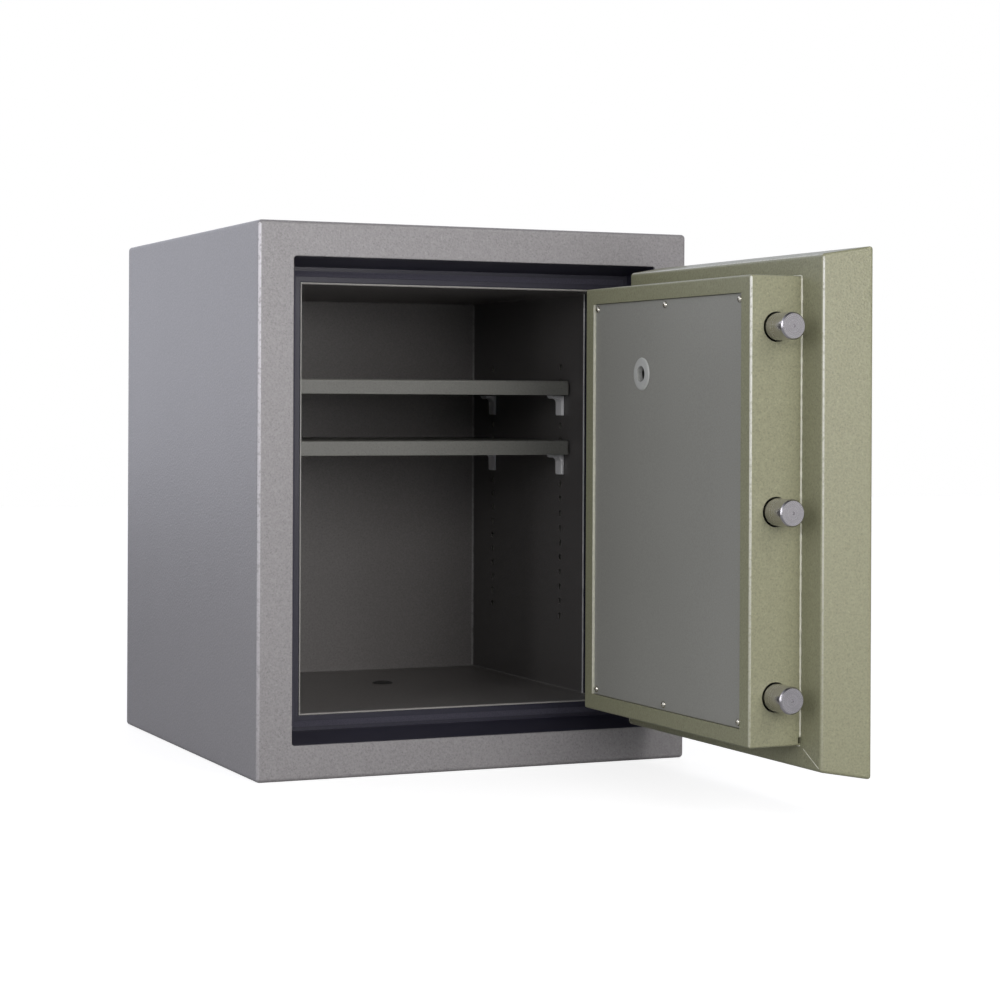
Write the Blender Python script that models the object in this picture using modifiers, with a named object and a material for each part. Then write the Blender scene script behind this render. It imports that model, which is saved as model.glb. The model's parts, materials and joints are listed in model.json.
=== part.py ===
"""A compact fire and burglary safe, standing open: cabinet, door, boltwork, handle, dial and lock.

Metres, +Z up, the front faces -Y, and the origin is the middle of the base.
The door is modelled shut, where its fits are plain, and then swung open on its hinge pivot.
"""
import math

import bmesh
import bpy
from mathutils import Matrix, Vector

# driving dimensions
HEIGHT = 0.530
WIDTH = 0.4535
DEPTH = 0.4592
DOOR_ANGLE = math.radians(90.8)
GAP = 0.0003
CASING = 0.0025
CASING_RADIUS = 0.004
SHEET = 0.0015

# doorway: margins round the opening, the tapered jamb, and the ledge that the bolts lock behind
SIDE_MARGIN = 0.0351
END_MARGIN = 0.0334
JAMB_TAPER = 0.0077
JAMB_SHEET = 0.002
LEDGE_AT = 0.0480
LEDGE_THICK = 0.0060
LEDGE_SIDE = 0.0583
LEDGE_END = 0.0558
LEDGE_LAP = 0.0043
SEAL_DEPTH = (0.0470, 0.0477)
SEAL_FROM_LEDGE = (0.0055, 0.0110)

# compartment, measured from the left side, the front and the floor
LINER_LEFT = 0.0771
LINER_RIGHT = 0.3868
LINER_FLOOR = 0.0576
LINER_TOP = HEIGHT - LINER_FLOOR
LINER_BACK = 0.3868
WALLS_FROM = 0.0996
POCKET_SIDE = 0.0450
FILL_AIR = 0.0003
WALL_AIR = 0.0045
ANCHOR = (0, 0.0300)
ANCHOR_RADIUS = 0.008

# shelves
SHELF_TOPS = {"upper": 0.3823, "lower": 0.3198}
SHELF_THICK = 0.0150
SHELF_FRONT = 0.1295
SHELF_PLAY = 0.0015
HOLE_COLUMNS = {"front": 0.1547, "rear": 0.3319}
HOLE_ROWS = 18
HOLE_PITCH = 0.0155
FIRST_HOLE = 0.1335
HOLE_RADIUS = 0.0030
CLIP_REACH = 0.0135
CLIP_TALL = 0.021
CLIP_LEG = 0.0032
CLIP_LEDGE = 0.0032
CLIP_FRONT, CLIP_REAR = -0.0100, 0.0050
PEG = 0.0026

# door slab, then the box of boltwork on its back
DOOR_GAP = 0.0022
SLAB = 0.0464
SLAB_TAPER = 0.0077
HINGE_TAPER = 0.0186
SLAB_SHEET = 0.002
BOX_X = (0.0777, 0.3912)
BOX_Z = (0.0624, 0.4691)
BOX_BACK = 0.0982
COVER_X = (0.0941, 0.3742)
COVER_Z = (0.0775, 0.4539)
COVER_FLANGE = 0.014
COVER_RECESS = 0.0022
SCREW_INSET = 0.0052
SCREW_HOLE = 0.0021
KEY_HOLE = 0.0086
PLATE_X = (0.150, 0.330)
PLATE_Z = (0.200, 0.430)
PLATE_THICK = 0.006

# hinges
HINGE_X = 0.4261
HINGE_Y = -0.0091
HINGE_HEIGHTS = {"lower": 0.100, "upper": 0.430}
KNUCKLE = 0.030
BARREL = 0.0075
PIN = 0.004
PIN_PLAY = 0.00035
CABINET_LEAF_END = 0.4465
DOOR_LEAF_END = 0.3800

# boltwork
BOLT_RADIUS = 0.0120
BOLT_Y = 0.0722
BOLT_TIP = 0.0496
BOLT_TAIL = 0.1180
BOLT_HEIGHTS = {"lower": 0.1054, "middle": 0.2650, "upper": 0.4246}
BOLT_TRAVEL = 0.028
BOLT_PLAY = 0.0004
BOX_HOLE_PLAY = 0.0018
STUD = 0.0045
BAR_X = (0.1183, 0.1243)
BAR_Y = (0.0580, 0.0864)
CARRIER_Z = (0.085, 0.445)
PLATE_Y = (0.0700, 0.0740)
GUIDE_X = (0.0990, 0.1020)
GUIDE_BACK = 0.0900
GUIDE_FOOT_X = 0.0850
GUIDE_FOOT_THICK = 0.003
HINGE_BAR_WIDE = 0.012
HINGE_BAR_Y = (0.0660, 0.0780)
HINGE_BAR_Z = (0.120, 0.410)

# handle, its cam, the dial and the lock
HANDLE_X = 0.190
HANDLE_Z = 0.243
HANDLE_TURN = math.radians(70)
LEVER_LONG = 0.088
LEVER_OUT = 0.030
CRANK = BOLT_TRAVEL / 2 / math.sin(HANDLE_TURN / 2)
CRANK_PIN = 0.004
DIAL_X = 0.2711
DIAL_Z = 0.374
KEY_X = 0.2786
KEY_Z = 0.3858
LOCK_X = (0.2401, 0.3021)
LOCK_Y = (0.0467, 0.0787)
LOCK_Z = (0.338, 0.4315)
LOCK_BOLT_X = (0.2611, 0.2811)
LOCK_BOLT_Y = (0.0660, 0.0745)
LOCK_BOLT_Z = (0.4000, 0.4325)
LOCK_WALL = 0.0025
LOCK_LID = 0.002
WHEELS = 3
WHEEL_FROM = 0.0035
WHEEL_PITCH = 0.0036
WHEEL_THICK = 0.0025
WHEEL_RADIUS = 0.0220
WHEEL_BORE = 0.0074
POST_RADIUS = 0.0070
DRIVE_CAM_Y = (0.0640, 0.0680)
SPINDLE = 0.005
SPINDLE_HOLE = 0.0065
DIAL_SPINDLE = 0.0040
DIAL_SPINDLE_HOLE = 0.0046
CAM_THICK = 0.006
CAM_RADIUS = 0.014
CAM_PLAY = 0.0009

ACROSS, INTO, UP = Vector((1, 0, 0)), Vector((0, 1, 0)), Vector((0, 0, 1))


def across(low, high):
    """An x range, from distances from the safe's left side."""
    return low - WIDTH / 2, high - WIDTH / 2


def into(low, high):
    """A y range, from distances behind the safe's front."""
    return low - DEPTH / 2, high - DEPTH / 2


def place(x, y, z):
    """A point, from its distance from the left side, from the front, and its height."""
    return Vector((x - WIDTH / 2, y - DEPTH / 2, z))


def inside(span, wall):
    """The span with a wall's thickness taken off both ends."""
    return span[0] + wall, span[1] - wall


def clear_scene():
    for old in list(bpy.data.objects):
        bpy.data.objects.remove(old)


def collection(name):
    made = bpy.data.collections.new(name)
    bpy.context.scene.collection.children.link(made)
    return made


def paint(name, colour, roughness, metallic):
    made = bpy.data.materials.new(name)
    made.use_nodes = True
    shader = made.node_tree.nodes["Principled BSDF"]
    shader.inputs["Base Color"].default_value = (*colour, 1)
    shader.inputs["Roughness"].default_value = roughness
    shader.inputs["Metallic"].default_value = metallic
    return made


def pivot(name, at, parent=None):
    """An empty on a joint's axis. Pieces are placed on it where they are with the door shut."""
    made = bpy.data.objects.new(name, None)
    made.location = at
    made["shut_at"] = at
    parts.objects.link(made)
    hang(made, parent)
    return made


def hang(obj, parent):
    if parent:
        obj.parent = parent
        obj.matrix_parent_inverse = Matrix.Translation(parent["shut_at"]).inverted()


def add(name, bm, at, finish, parent):
    """An object from a bmesh. With no finish it is a cutter."""
    mesh = bpy.data.meshes.new(name)
    bm.to_mesh(mesh)
    bm.free()
    made = bpy.data.objects.new(name, mesh)
    made.location = at
    if finish:
        parts.objects.link(made)
        mesh.materials.append(finish)
    else:
        cutters.objects.link(made)
        made.hide_render = True
        made.display_type = "WIRE"
    hang(made, parent)
    return made


def block(name, x, y, z, finish=None, parent=None):
    bm = bmesh.new()
    size = (x[1] - x[0], y[1] - y[0], z[1] - z[0])
    bmesh.ops.create_cube(bm, size=1, matrix=Matrix.Diagonal((*size, 1)))
    middle = (sum(x) / 2, sum(y) / 2, sum(z) / 2)
    return add(name, bm, middle, finish, parent)


def wedge(name, front, back, y, finish=None, parent=None):
    """A block whose x and z ranges change evenly from its front to its back."""
    bm = bmesh.new()
    bmesh.ops.create_cube(bm, size=2)
    for v in bm.verts:
        x, z = front if v.co.y < 0 else back
        v.co = (x[v.co.x > 0], y[v.co.y > 0], z[v.co.z > 0])
    return add(name, bm, (0, 0, 0), finish, parent)


def rod(name, axis, middle, radius, length, finish=None, parent=None, sides=24):
    bm = bmesh.new()
    turn = UP.rotation_difference(axis).to_matrix().to_4x4()
    bmesh.ops.create_cone(
        bm, cap_ends=True, segments=sides, radius1=radius, radius2=radius, depth=length, matrix=turn
    )
    return add(name, bm, middle, finish, parent)


def turned(name, profile, axis, at, finish=None, parent=None, sides=24):
    """A turned piece. Its profile is (radius, height) points, from the top of its outer side down."""
    bm = bmesh.new()
    points = [bm.verts.new((radius, 0, height)) for radius, height in profile]
    for a, b in zip(points, points[1:]):
        bm.edges.new((a, b))
    if profile[0][0] > 0:
        bm.edges.new((points[-1], points[0]))
    made = add(name, bm, at, finish, parent)
    made.rotation_euler = UP.rotation_difference(axis).to_euler()
    screw = made.modifiers.new("turn", "SCREW")
    screw.steps = sides
    screw.render_steps = sides
    screw.use_merge_vertices = True
    screw.merge_threshold = 0.00001
    return made


def change(target, other, operation):
    step = target.modifiers.new(operation.lower(), "BOOLEAN")
    step.operation = operation
    step.object = other
    return target


def cut(target, *others):
    for other in others:
        change(target, other, "DIFFERENCE")
    return target


def join(target, *others):
    for other in others:
        change(target, other, "UNION")
    return target


def round_edges(obj, radius, segments, chosen):
    """Bevels the edges whose middle, in the object's own axes, passes the test."""
    mesh = obj.data
    weights = mesh.attributes.new("bevel_weight_edge", "FLOAT", "EDGE")
    for edge in mesh.edges:
        a, b = (mesh.vertices[i].co for i in edge.vertices)
        weights.data[edge.index].value = 1.0 if chosen((a + b) / 2) else 0.0
    bevel = obj.modifiers.new("edges", "BEVEL")
    bevel.width = radius
    bevel.segments = segments
    bevel.limit_method = "WEIGHT"


def smooth(*objects):
    for obj in objects:
        obj.data.shade_smooth()
        obj.data.set_sharp_from_angle(angle=math.radians(35))


def frame_at(depth, grow=0.0):
    """The doorway's x and z ranges at a depth in the jamb, grown outwards."""
    lean = JAMB_TAPER * depth / LEDGE_AT - grow
    x = across(SIDE_MARGIN + lean, WIDTH - SIDE_MARGIN - lean)
    return x, (END_MARGIN + lean, HEIGHT - END_MARGIN - lean)


def slab_at(share, wall=0.0):
    """The door slab's x and z ranges, from its outer face (0) to its inner face (1)."""
    free = SIDE_MARGIN + DOOR_GAP + SLAB_TAPER * share + wall
    hinged = WIDTH - SIDE_MARGIN - DOOR_GAP - HINGE_TAPER * share - wall
    low = END_MARGIN + DOOR_GAP + SLAB_TAPER * share + wall
    return across(free, hinged), (low, HEIGHT - low)


def anchor_hole(name, radius):
    return rod(name, UP, (*ANCHOR, 0.03), radius, 0.09)


def make_casing():
    """The folded outer casing, its front face round the doorway, and the panel that closes its back."""
    x, y, z = across(0, WIDTH), into(0, DEPTH), (0, HEIGHT)
    casing = block("outer_casing", x, y, z, OLIVE_GREY)
    round_edges(casing, CASING_RADIUS, 2, lambda p: p.y < DEPTH * 0.4)
    room = block("cut_casing", inside(x, CASING), (y[0] + CASING, y[1] + 0.01), inside(z, CASING))
    doorway = block("cut_doorway", *across_up(frame_at(0), into(-0.01, 0.01)))
    cut(casing, room, doorway, anchor_hole("cut_anchor_base", ANCHOR_RADIUS))
    panel_y = (y[1] - 2 * GAP - CASING, y[1] - 2 * GAP)
    block("back_panel", inside(x, CASING + GAP), panel_y, inside(z, CASING + GAP), OLIVE_GREY)


def across_up(ranges, y):
    """Puts a y range between an x range and a z range."""
    return ranges[0], y, ranges[1]


def make_jamb():
    """The tapered jamb behind the casing's front, the locking ledge, and the heat seal on it."""
    start, end = CASING + GAP, LEDGE_AT - GAP
    jamb = wedge("door_jamb", frame_at(start, JAMB_SHEET), frame_at(end, JAMB_SHEET), into(start, end), NAVY)
    over = 0.005
    cut(jamb, wedge("cut_jamb", frame_at(start - over), frame_at(end + over), into(start - over, end + over)))

    wide = across_up(frame_at(LEDGE_AT, LEDGE_LAP), into(LEDGE_AT, LEDGE_AT + LEDGE_THICK))
    ledge = block("locking_ledge", *wide, NAVY)
    x, z = across(LEDGE_SIDE, WIDTH - LEDGE_SIDE), (LEDGE_END, HEIGHT - LEDGE_END)
    cut(ledge, block("cut_ledge", x, into(0.03, 0.07), z))

    hole, outer = SEAL_FROM_LEDGE
    seal = block("heat_seal", inside(x, -outer), into(*SEAL_DEPTH), inside(z, -outer), SEAL_GREY)
    cut(seal, block("cut_seal", inside(x, -hole), into(0.04, 0.05), inside(z, -hole)))


def make_liner():
    """The welded sheet liner: a compartment whose side walls stop where the shut door's box ends."""
    ends = (LINER_FLOOR - SHEET, LINER_TOP + SHEET)
    sides = across(LINER_LEFT - SHEET, LINER_RIGHT + SHEET)
    liner = block("inner_liner", sides, into(LEDGE_AT, LINER_BACK + SHEET), ends, LINER)
    front = across(LEDGE_SIDE + GAP, WIDTH - LEDGE_SIDE - GAP)
    join(liner, block("add_liner_front", front, into(LEDGE_AT, WALLS_FROM - GAP), ends))
    tall = (LINER_FLOOR, LINER_TOP)
    cut(
        liner,
        block("cut_liner", across(LINER_LEFT, LINER_RIGHT), into(0.03, LINER_BACK), tall),
        block("cut_liner_front", across(0.04, WIDTH - 0.04), into(0.03, WALLS_FROM), tall),
        shelf_holes(),
        anchor_hole("cut_anchor_liner", ANCHOR_RADIUS),
    )


def shelf_holes():
    """Columns of round holes through both side walls, as one cutter."""
    bm = bmesh.new()
    turn = UP.rotation_difference(ACROSS).to_matrix().to_4x4()
    for depth in HOLE_COLUMNS.values():
        for row in range(HOLE_ROWS):
            at = Matrix.Translation(place(WIDTH / 2, depth, FIRST_HOLE + row * HOLE_PITCH))
            bmesh.ops.create_cone(
                bm, cap_ends=True, segments=8, radius1=HOLE_RADIUS, radius2=HOLE_RADIUS,
                depth=WIDTH, matrix=at @ turn,
            )
    return add("cut_shelf_holes", bm, (0, 0, 0), None, None)


def make_pocket(name, side):
    """The channel behind the ledge that the bolts, or the hinge side's bar, reach into."""
    def from_side(near, far):
        return across(near, far) if side < 0 else across(WIDTH - far, WIDTH - near)

    wall = LINER_LEFT - SHEET if side < 0 else WIDTH - LINER_RIGHT - SHEET
    tall = (LINER_FLOOR, LINER_TOP)
    behind = LEDGE_AT + LEDGE_THICK + GAP
    outer = from_side(POCKET_SIDE - SHEET, wall - GAP)
    pocket = block(name, outer, into(behind, WALLS_FROM + SHEET), inside(tall, -SHEET), NAVY)
    cut(
        pocket,
        block(f"cut_{name}", from_side(POCKET_SIDE, 0.1), into(0.03, WALLS_FROM), tall),
        block(f"cut_{name}_ends", from_side(LEDGE_SIDE, 0.1), into(0.03, WALLS_FROM), inside(tall, -0.01)),
    )


def make_insulation():
    """The poured fill between the casing and everything inside it."""
    wall = CASING + GAP
    y = into(wall, DEPTH - CASING - 3 * GAP)
    fill = block("insulation_fill", across(wall, WIDTH - wall), y, (wall, HEIGHT - wall), CONCRETE)
    grow = JAMB_SHEET + GAP
    ledge_back = LEDGE_AT + LEDGE_THICK
    round_room = SHEET + 2 * FILL_AIR
    tall = inside((LINER_FLOOR, LINER_TOP), -round_room)
    pockets = inside(across(POCKET_SIDE, WIDTH - POCKET_SIDE), -SHEET - FILL_AIR)
    cut(
        fill,
        wedge("cut_fill_jamb", frame_at(-0.01, grow), frame_at(LEDGE_AT, grow), into(-0.01, LEDGE_AT)),
        block("cut_fill_ledge", *across_up(frame_at(LEDGE_AT, LEDGE_LAP + GAP), into(0.04, ledge_back + GAP))),
        block("cut_fill_front", pockets, into(0.05, WALLS_FROM + SHEET + FILL_AIR), tall),
        block(
            "cut_fill_room",
            across(LINER_LEFT - WALL_AIR, LINER_RIGHT + WALL_AIR),
            into(0.1, LINER_BACK + SHEET + GAP),
            tall,
        ),
        anchor_hole("cut_anchor_fill", ANCHOR_RADIUS + 0.002),
    )


def make_anchor_plug():
    profile = [(0, 0.0022), (0.008, 0.0018), (0.0115, 0.0003), (0.0072, 0.0003), (0.0072, -0.010), (0, -0.010)]
    plug = turned("anchor_plug", profile, UP, (*ANCHOR, LINER_FLOOR), RUBBER, sides=20)
    smooth(plug)


def make_shelf(name, top):
    """A pressed tray, upside down, its lips resting on four clips."""
    x = across(LINER_LEFT + SHELF_PLAY, LINER_RIGHT - SHELF_PLAY)
    y = into(SHELF_FRONT, LINER_BACK - SHELF_PLAY)
    shelf = block(f"{name}_shelf", x, y, (top - SHELF_THICK, top), OLIVE_GREY)
    under = (top - SHELF_THICK - 0.01, top - SHEET)
    cut(shelf, block(f"cut_{name}_shelf", inside(x, SHEET), inside(y, SHEET), under))


def make_clip(name, side, depth, shelf_top):
    """An L-shaped clip whose peg sits in a hole of the side wall."""
    wall = LINER_LEFT + GAP if side < 0 else LINER_RIGHT - GAP
    top = shelf_top - SHELF_THICK - GAP

    def from_wall(reach):
        return across(*sorted((wall, wall - side * reach)))

    y = into(depth + CLIP_FRONT, depth + CLIP_REAR)
    clip = block(name, from_wall(CLIP_REACH), y, (top - CLIP_LEDGE, top), CLIP_GREY)
    leg = block(f"add_{name}_leg", from_wall(CLIP_LEG), y, (top - CLIP_TALL, top - CLIP_LEDGE / 2))
    row = round((top - CLIP_TALL / 2 - FIRST_HOLE) / HOLE_PITCH)
    middle = place(wall + side * 0.001, depth, FIRST_HOLE + row * HOLE_PITCH)
    join(clip, leg, rod(f"add_{name}_peg", ACROSS, middle, PEG, 0.007, sides=12))


def make_cabinet():
    make_casing()
    make_jamb()
    make_liner()
    make_pocket("bolt_pocket", -1)
    make_pocket("hinge_pocket", 1)
    make_insulation()
    make_anchor_plug()
    for name, top in SHELF_TOPS.items():
        make_shelf(name, top)
        for side, hand in ((-1, "left"), (1, "right")):
            for column, depth in HOLE_COLUMNS.items():
                make_clip(f"{name}_clip_{column}_{hand}", side, depth, top)


def make_hinge(name, height, door):
    """A barrel hinge: the cabinet's knuckle below, the door's on top, and the pin through both."""
    def knuckle(node, low, leaf_x, parent):
        middle = place(HINGE_X, HINGE_Y, low + KNUCKLE / 2)
        barrel = rod(node, UP, middle, BARREL, KNUCKLE, OLIVE, parent)
        leaf_y = into(-0.0050, -GAP)
        leaf = block(f"add_{node}", across(*leaf_x), leaf_y, (low + 0.001, low + KNUCKLE - 0.001), None, parent)
        join(barrel, leaf)
        cut(barrel, rod(f"cut_{node}", UP, middle, PIN + PIN_PLAY, 0.05, None, parent))
        smooth(barrel)

    knuckle(f"{name}_cabinet_knuckle", height - KNUCKLE, (HINGE_X - 0.001, CABINET_LEAF_END), None)
    knuckle(f"{name}_door_knuckle", height + GAP, (DOOR_LEAF_END, HINGE_X + 0.001), door)
    end, head, crown = KNUCKLE + 2 * GAP, 0.0062, 0.0045
    profile = [(0, end + crown), (head * 0.7, end + crown * 0.8), (head, end), (PIN, end)]
    profile += [(PIN, -end), (head, -end), (head * 0.7, -end - crown * 0.8), (0, -end - crown)]
    pin = turned(f"{name}_hinge_pin", profile, UP, place(HINGE_X, HINGE_Y, height), STEEL, sides=20)
    smooth(pin)


def spindle_hole(name, x, z, parent, radius=SPINDLE_HOLE):
    return rod(name, INTO, place(x, 0.03, z), radius, 0.12, None, parent, sides=16)


def both_spindle_holes(name, parent, radius=SPINDLE_HOLE):
    return (
        spindle_hole(f"cut_{name}_handle", HANDLE_X, HANDLE_Z, parent, radius),
        spindle_hole(f"cut_{name}_dial", DIAL_X, DIAL_Z, parent, radius),
    )


def make_slab(door):
    """The tapered door slab: a steel shell round a hard plate and poured insulation."""
    shell = wedge("door_shell", slab_at(0), slab_at(1), into(0, SLAB), OLIVE, door)
    front = CASING / SLAB
    back = 1 - SLAB_SHEET / SLAB
    room = into(CASING, SLAB - SLAB_SHEET)
    cut(shell, wedge("cut_shell", slab_at(front, SLAB_SHEET), slab_at(back, SLAB_SHEET), room, None, door))
    cut(shell, *both_spindle_holes("shell", door))

    wall = SLAB_SHEET + GAP
    start, end = CASING + GAP, SLAB - wall
    fill = wedge(
        "door_insulation", slab_at(start / SLAB, wall), slab_at(end / SLAB, wall), into(start, end), CONCRETE, door
    )
    plate_back = start + PLATE_THICK
    plate = block("hard_plate", across(*PLATE_X), into(start, plate_back), PLATE_Z, RAW_STEEL, door)
    cut(plate, *both_spindle_holes("plate", door))
    room = inside(across(*PLATE_X), -GAP), into(0, plate_back + GAP), inside(PLATE_Z, -GAP)
    pocket = block("cut_plate_pocket", *room, None, door)
    cut(fill, pocket, *both_spindle_holes("fill", door, 0.008))


def make_inner_box(door):
    """The pressed box on the door's back, with a hole for each bolt, and the cover let into its face."""
    start = SLAB + GAP
    box = block("boltwork_box", across(*BOX_X), into(start, BOX_BACK), BOX_Z, OLIVE, door)
    round_edges(box, 0.0014, 2, lambda p: p.y > -0.02)
    room = inside(across(*BOX_X), SHEET), into(0.03, BOX_BACK - SHEET), inside(BOX_Z, SHEET)
    cut(box, block("cut_box", *room, None, door))
    cover_back = BOX_BACK - COVER_RECESS - SHEET
    flange_back = cover_back - GAP - SHEET
    x, z = across(*COVER_X), COVER_Z
    rim = inside(x, -GAP - SHEET), into(flange_back, BOX_BACK - SHEET / 2), inside(z, -GAP - SHEET)
    recess = inside(x, -GAP), into(flange_back + SHEET, 0.12), inside(z, -GAP)
    window = inside(x, COVER_FLANGE), into(0.08, 0.12), inside(z, COVER_FLANGE)
    join(box, block("add_box_rim", *rim, None, door))
    cut(box, block("cut_box_recess", *recess, None, door), block("cut_box_window", *window, None, door))
    for name, height in BOLT_HEIGHTS.items():
        middle = place(BOX_X[0], BOLT_Y, height)
        cut(box, rod(f"cut_box_{name}", ACROSS, middle, BOLT_RADIUS + BOX_HOLE_PLAY, 0.02, None, door))

    cover = block("cover_panel", x, into(cover_back, cover_back + SHEET), z, PANEL_GREY, door)
    middle = place(KEY_X, cover_back, KEY_Z)
    cut(cover, rod("cut_cover_key", INTO, middle, KEY_HOLE, 0.02, None, door, sides=20))
    x, z = inside(COVER_X, SCREW_INSET), inside(COVER_Z, SCREW_INSET)
    places = [(a, b) for b in (z[1], z[0]) for a in (x[0], sum(x) / 2, x[1])]
    for number, (a, b) in enumerate(places, 1):
        at = place(a, cover_back, b)
        cut(cover, rod(f"cut_cover_screw_{number}", INTO, at, SCREW_HOLE, 0.02, None, door, sides=10))
        cut(box, rod(f"cut_box_screw_{number}", INTO, at, SCREW_HOLE, 0.02, None, door, sides=10))
        profile = [(0, 0.0018), (0.0022, 0.0014), (0.0032, 0), (0.0018, 0), (0.0018, -0.005), (0, -0.005)]
        head = place(a, cover_back + SHEET + GAP, b)
        smooth(turned(f"cover_screw_{number}", profile, INTO, head, STEEL, door, sides=12))

    bore, flange, neck = 0.0074, 0.0154, 0.0082
    profile = [(bore, 0.0012), (flange - 0.001, 0.0012), (flange, 0), (neck, 0), (neck, -0.004), (bore, -0.004)]
    at = place(KEY_X, cover_back + SHEET + GAP, KEY_Z)
    smooth(turned("change_key_grommet", profile, INTO, at, CLIP_GREY, door, sides=28))


def make_door_fittings(door):
    """The bar that guides the bolts, and the fixed bar on the hinge side that backs the ledge."""
    start = SLAB + GAP
    guide = block("bolt_guide", across(*GUIDE_X), into(start, GUIDE_BACK), CARRIER_Z, RAW_STEEL, door)
    foot = across(GUIDE_FOOT_X, GUIDE_X[0] + 0.001), into(start, start + GUIDE_FOOT_THICK), CARRIER_Z
    join(guide, block("add_guide_foot", *foot, None, door))
    for name, height in BOLT_HEIGHTS.items():
        middle = place(sum(GUIDE_X) / 2, BOLT_Y, height)
        cut(guide, rod(f"cut_guide_{name}", ACROSS, middle, BOLT_RADIUS + BOLT_PLAY, 0.02, None, door))
    bar_x = BOX_X[1] + GAP, BOX_X[1] + GAP + HINGE_BAR_WIDE
    block("hinge_side_bar", across(*bar_x), into(*HINGE_BAR_Y), HINGE_BAR_Z, RAW_STEEL, door)


def make_lock(door):
    """The combination lock on the slab's back: case, cover, and three wheels on a hollow post."""
    case = block("lock_case", across(*LOCK_X), into(*LOCK_Y), LOCK_Z, ZINC, door)
    room = inside(across(*LOCK_X), LOCK_WALL), into(LOCK_Y[0] + LOCK_WALL, 0.12), inside(LOCK_Z, LOCK_WALL)
    cut(case, block("cut_case", *room, None, door))
    post_at = place(DIAL_X, LOCK_Y[0] + 0.0085, DIAL_Z)
    join(case, rod("add_case_post", INTO, post_at, POST_RADIUS, 0.015, None, door, sides=20))
    bolt_way = inside(across(*LOCK_BOLT_X), -GAP), into(LOCK_BOLT_Y[0] - GAP, 0.12), (0.42, 0.44)
    cut(
        case,
        block("cut_case_bolt_way", *bolt_way, None, door),
        spindle_hole("cut_case_spindle", DIAL_X, DIAL_Z, door, DIAL_SPINDLE_HOLE),
    )
    lid = into(LOCK_Y[1] + GAP, LOCK_Y[1] + GAP + LOCK_LID)
    block("lock_cover", across(*LOCK_X), lid, LOCK_Z, ZINC, door)
    for number in range(WHEELS):
        start = LOCK_Y[0] + WHEEL_FROM + number * WHEEL_PITCH
        rim, face = (WHEEL_RADIUS, WHEEL_BORE), (WHEEL_THICK, 0)
        profile = [(rim[1], face[0]), (rim[0], face[0]), (rim[0], face[1]), (rim[1], face[1])]
        wheel = turned(f"lock_wheel_{number + 1}", profile, INTO, place(DIAL_X, start, DIAL_Z), BRASS, door)
        gate = across(DIAL_X - 0.0025, DIAL_X + 0.0025), into(start - 0.001, start + 0.01), (DIAL_Z + 0.018, 0.41)
        cut(wheel, block(f"cut_wheel_{number + 1}", *gate, None, door))
        smooth(wheel)


def make_lock_bolt(door):
    at = place(sum(LOCK_BOLT_X) / 2, sum(LOCK_BOLT_Y) / 2, sum(LOCK_BOLT_Z) / 2)
    slide = pivot("lock_bolt_slide", at, door)
    block("lock_bolt", across(*LOCK_BOLT_X), into(*LOCK_BOLT_Y), LOCK_BOLT_Z, BRASS, slide)


def make_boltwork(door):
    """Three round bolts on one carrier, whose arm the handle's cam drives and whose tab the lock blocks."""
    slide = pivot("bolts_slide", place(BOLT_TIP, BOLT_Y, BOLT_HEIGHTS["middle"]), door)
    carrier = block("bolt_carrier", across(*BAR_X), into(*BAR_Y), CARRIER_Z, RAW_STEEL, slide)
    crank_x = HANDLE_X - BOLT_TRAVEL / 2
    low = HANDLE_Z + CRANK * math.cos(HANDLE_TURN / 2)
    high = HANDLE_Z + CRANK
    start = BAR_X[0] + 0.001
    arm = across(start, crank_x + 0.013), into(*PLATE_Y), (low - 0.012, high + 0.012)
    reach = across(start, LOCK_BOLT_X[0] - 0.0011), into(*PLATE_Y), (0.4405, 0.4500)
    tab = across(LOCK_BOLT_X[0] - 0.0071, LOCK_BOLT_X[0] - 0.0011), into(*PLATE_Y), (0.4345, 0.4420)
    join(
        carrier,
        block("add_carrier_arm", *arm, None, slide),
        block("add_carrier_reach", *reach, None, slide),
        block("add_carrier_tab", *tab, None, slide),
    )
    play = CRANK_PIN + 0.0007
    slot = across(crank_x - play, crank_x + play), into(0.06, 0.09), (low - play, high + play)
    cut(carrier, block("cut_carrier_slot", *slot, None, slide))
    for name, height in BOLT_HEIGHTS.items():
        middle = place(BAR_X[0], BOLT_Y, height)
        cut(carrier, rod(f"cut_carrier_{name}", ACROSS, middle, STUD + GAP, 0.03, None, slide, sides=16))
        long, chamfer, rim = BOLT_TAIL - BOLT_TIP, 0.0012, BOLT_RADIUS
        profile = [(0, long), (rim - chamfer, long), (rim, long - chamfer), (rim, 0), (STUD, 0)]
        profile += [(STUD, -0.009), (0, -0.009)]
        at = place(BOLT_TAIL, BOLT_Y, height)
        smooth(turned(f"{name}_bolt", profile, -ACROSS, at, STEEL, slide, sides=32))


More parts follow.
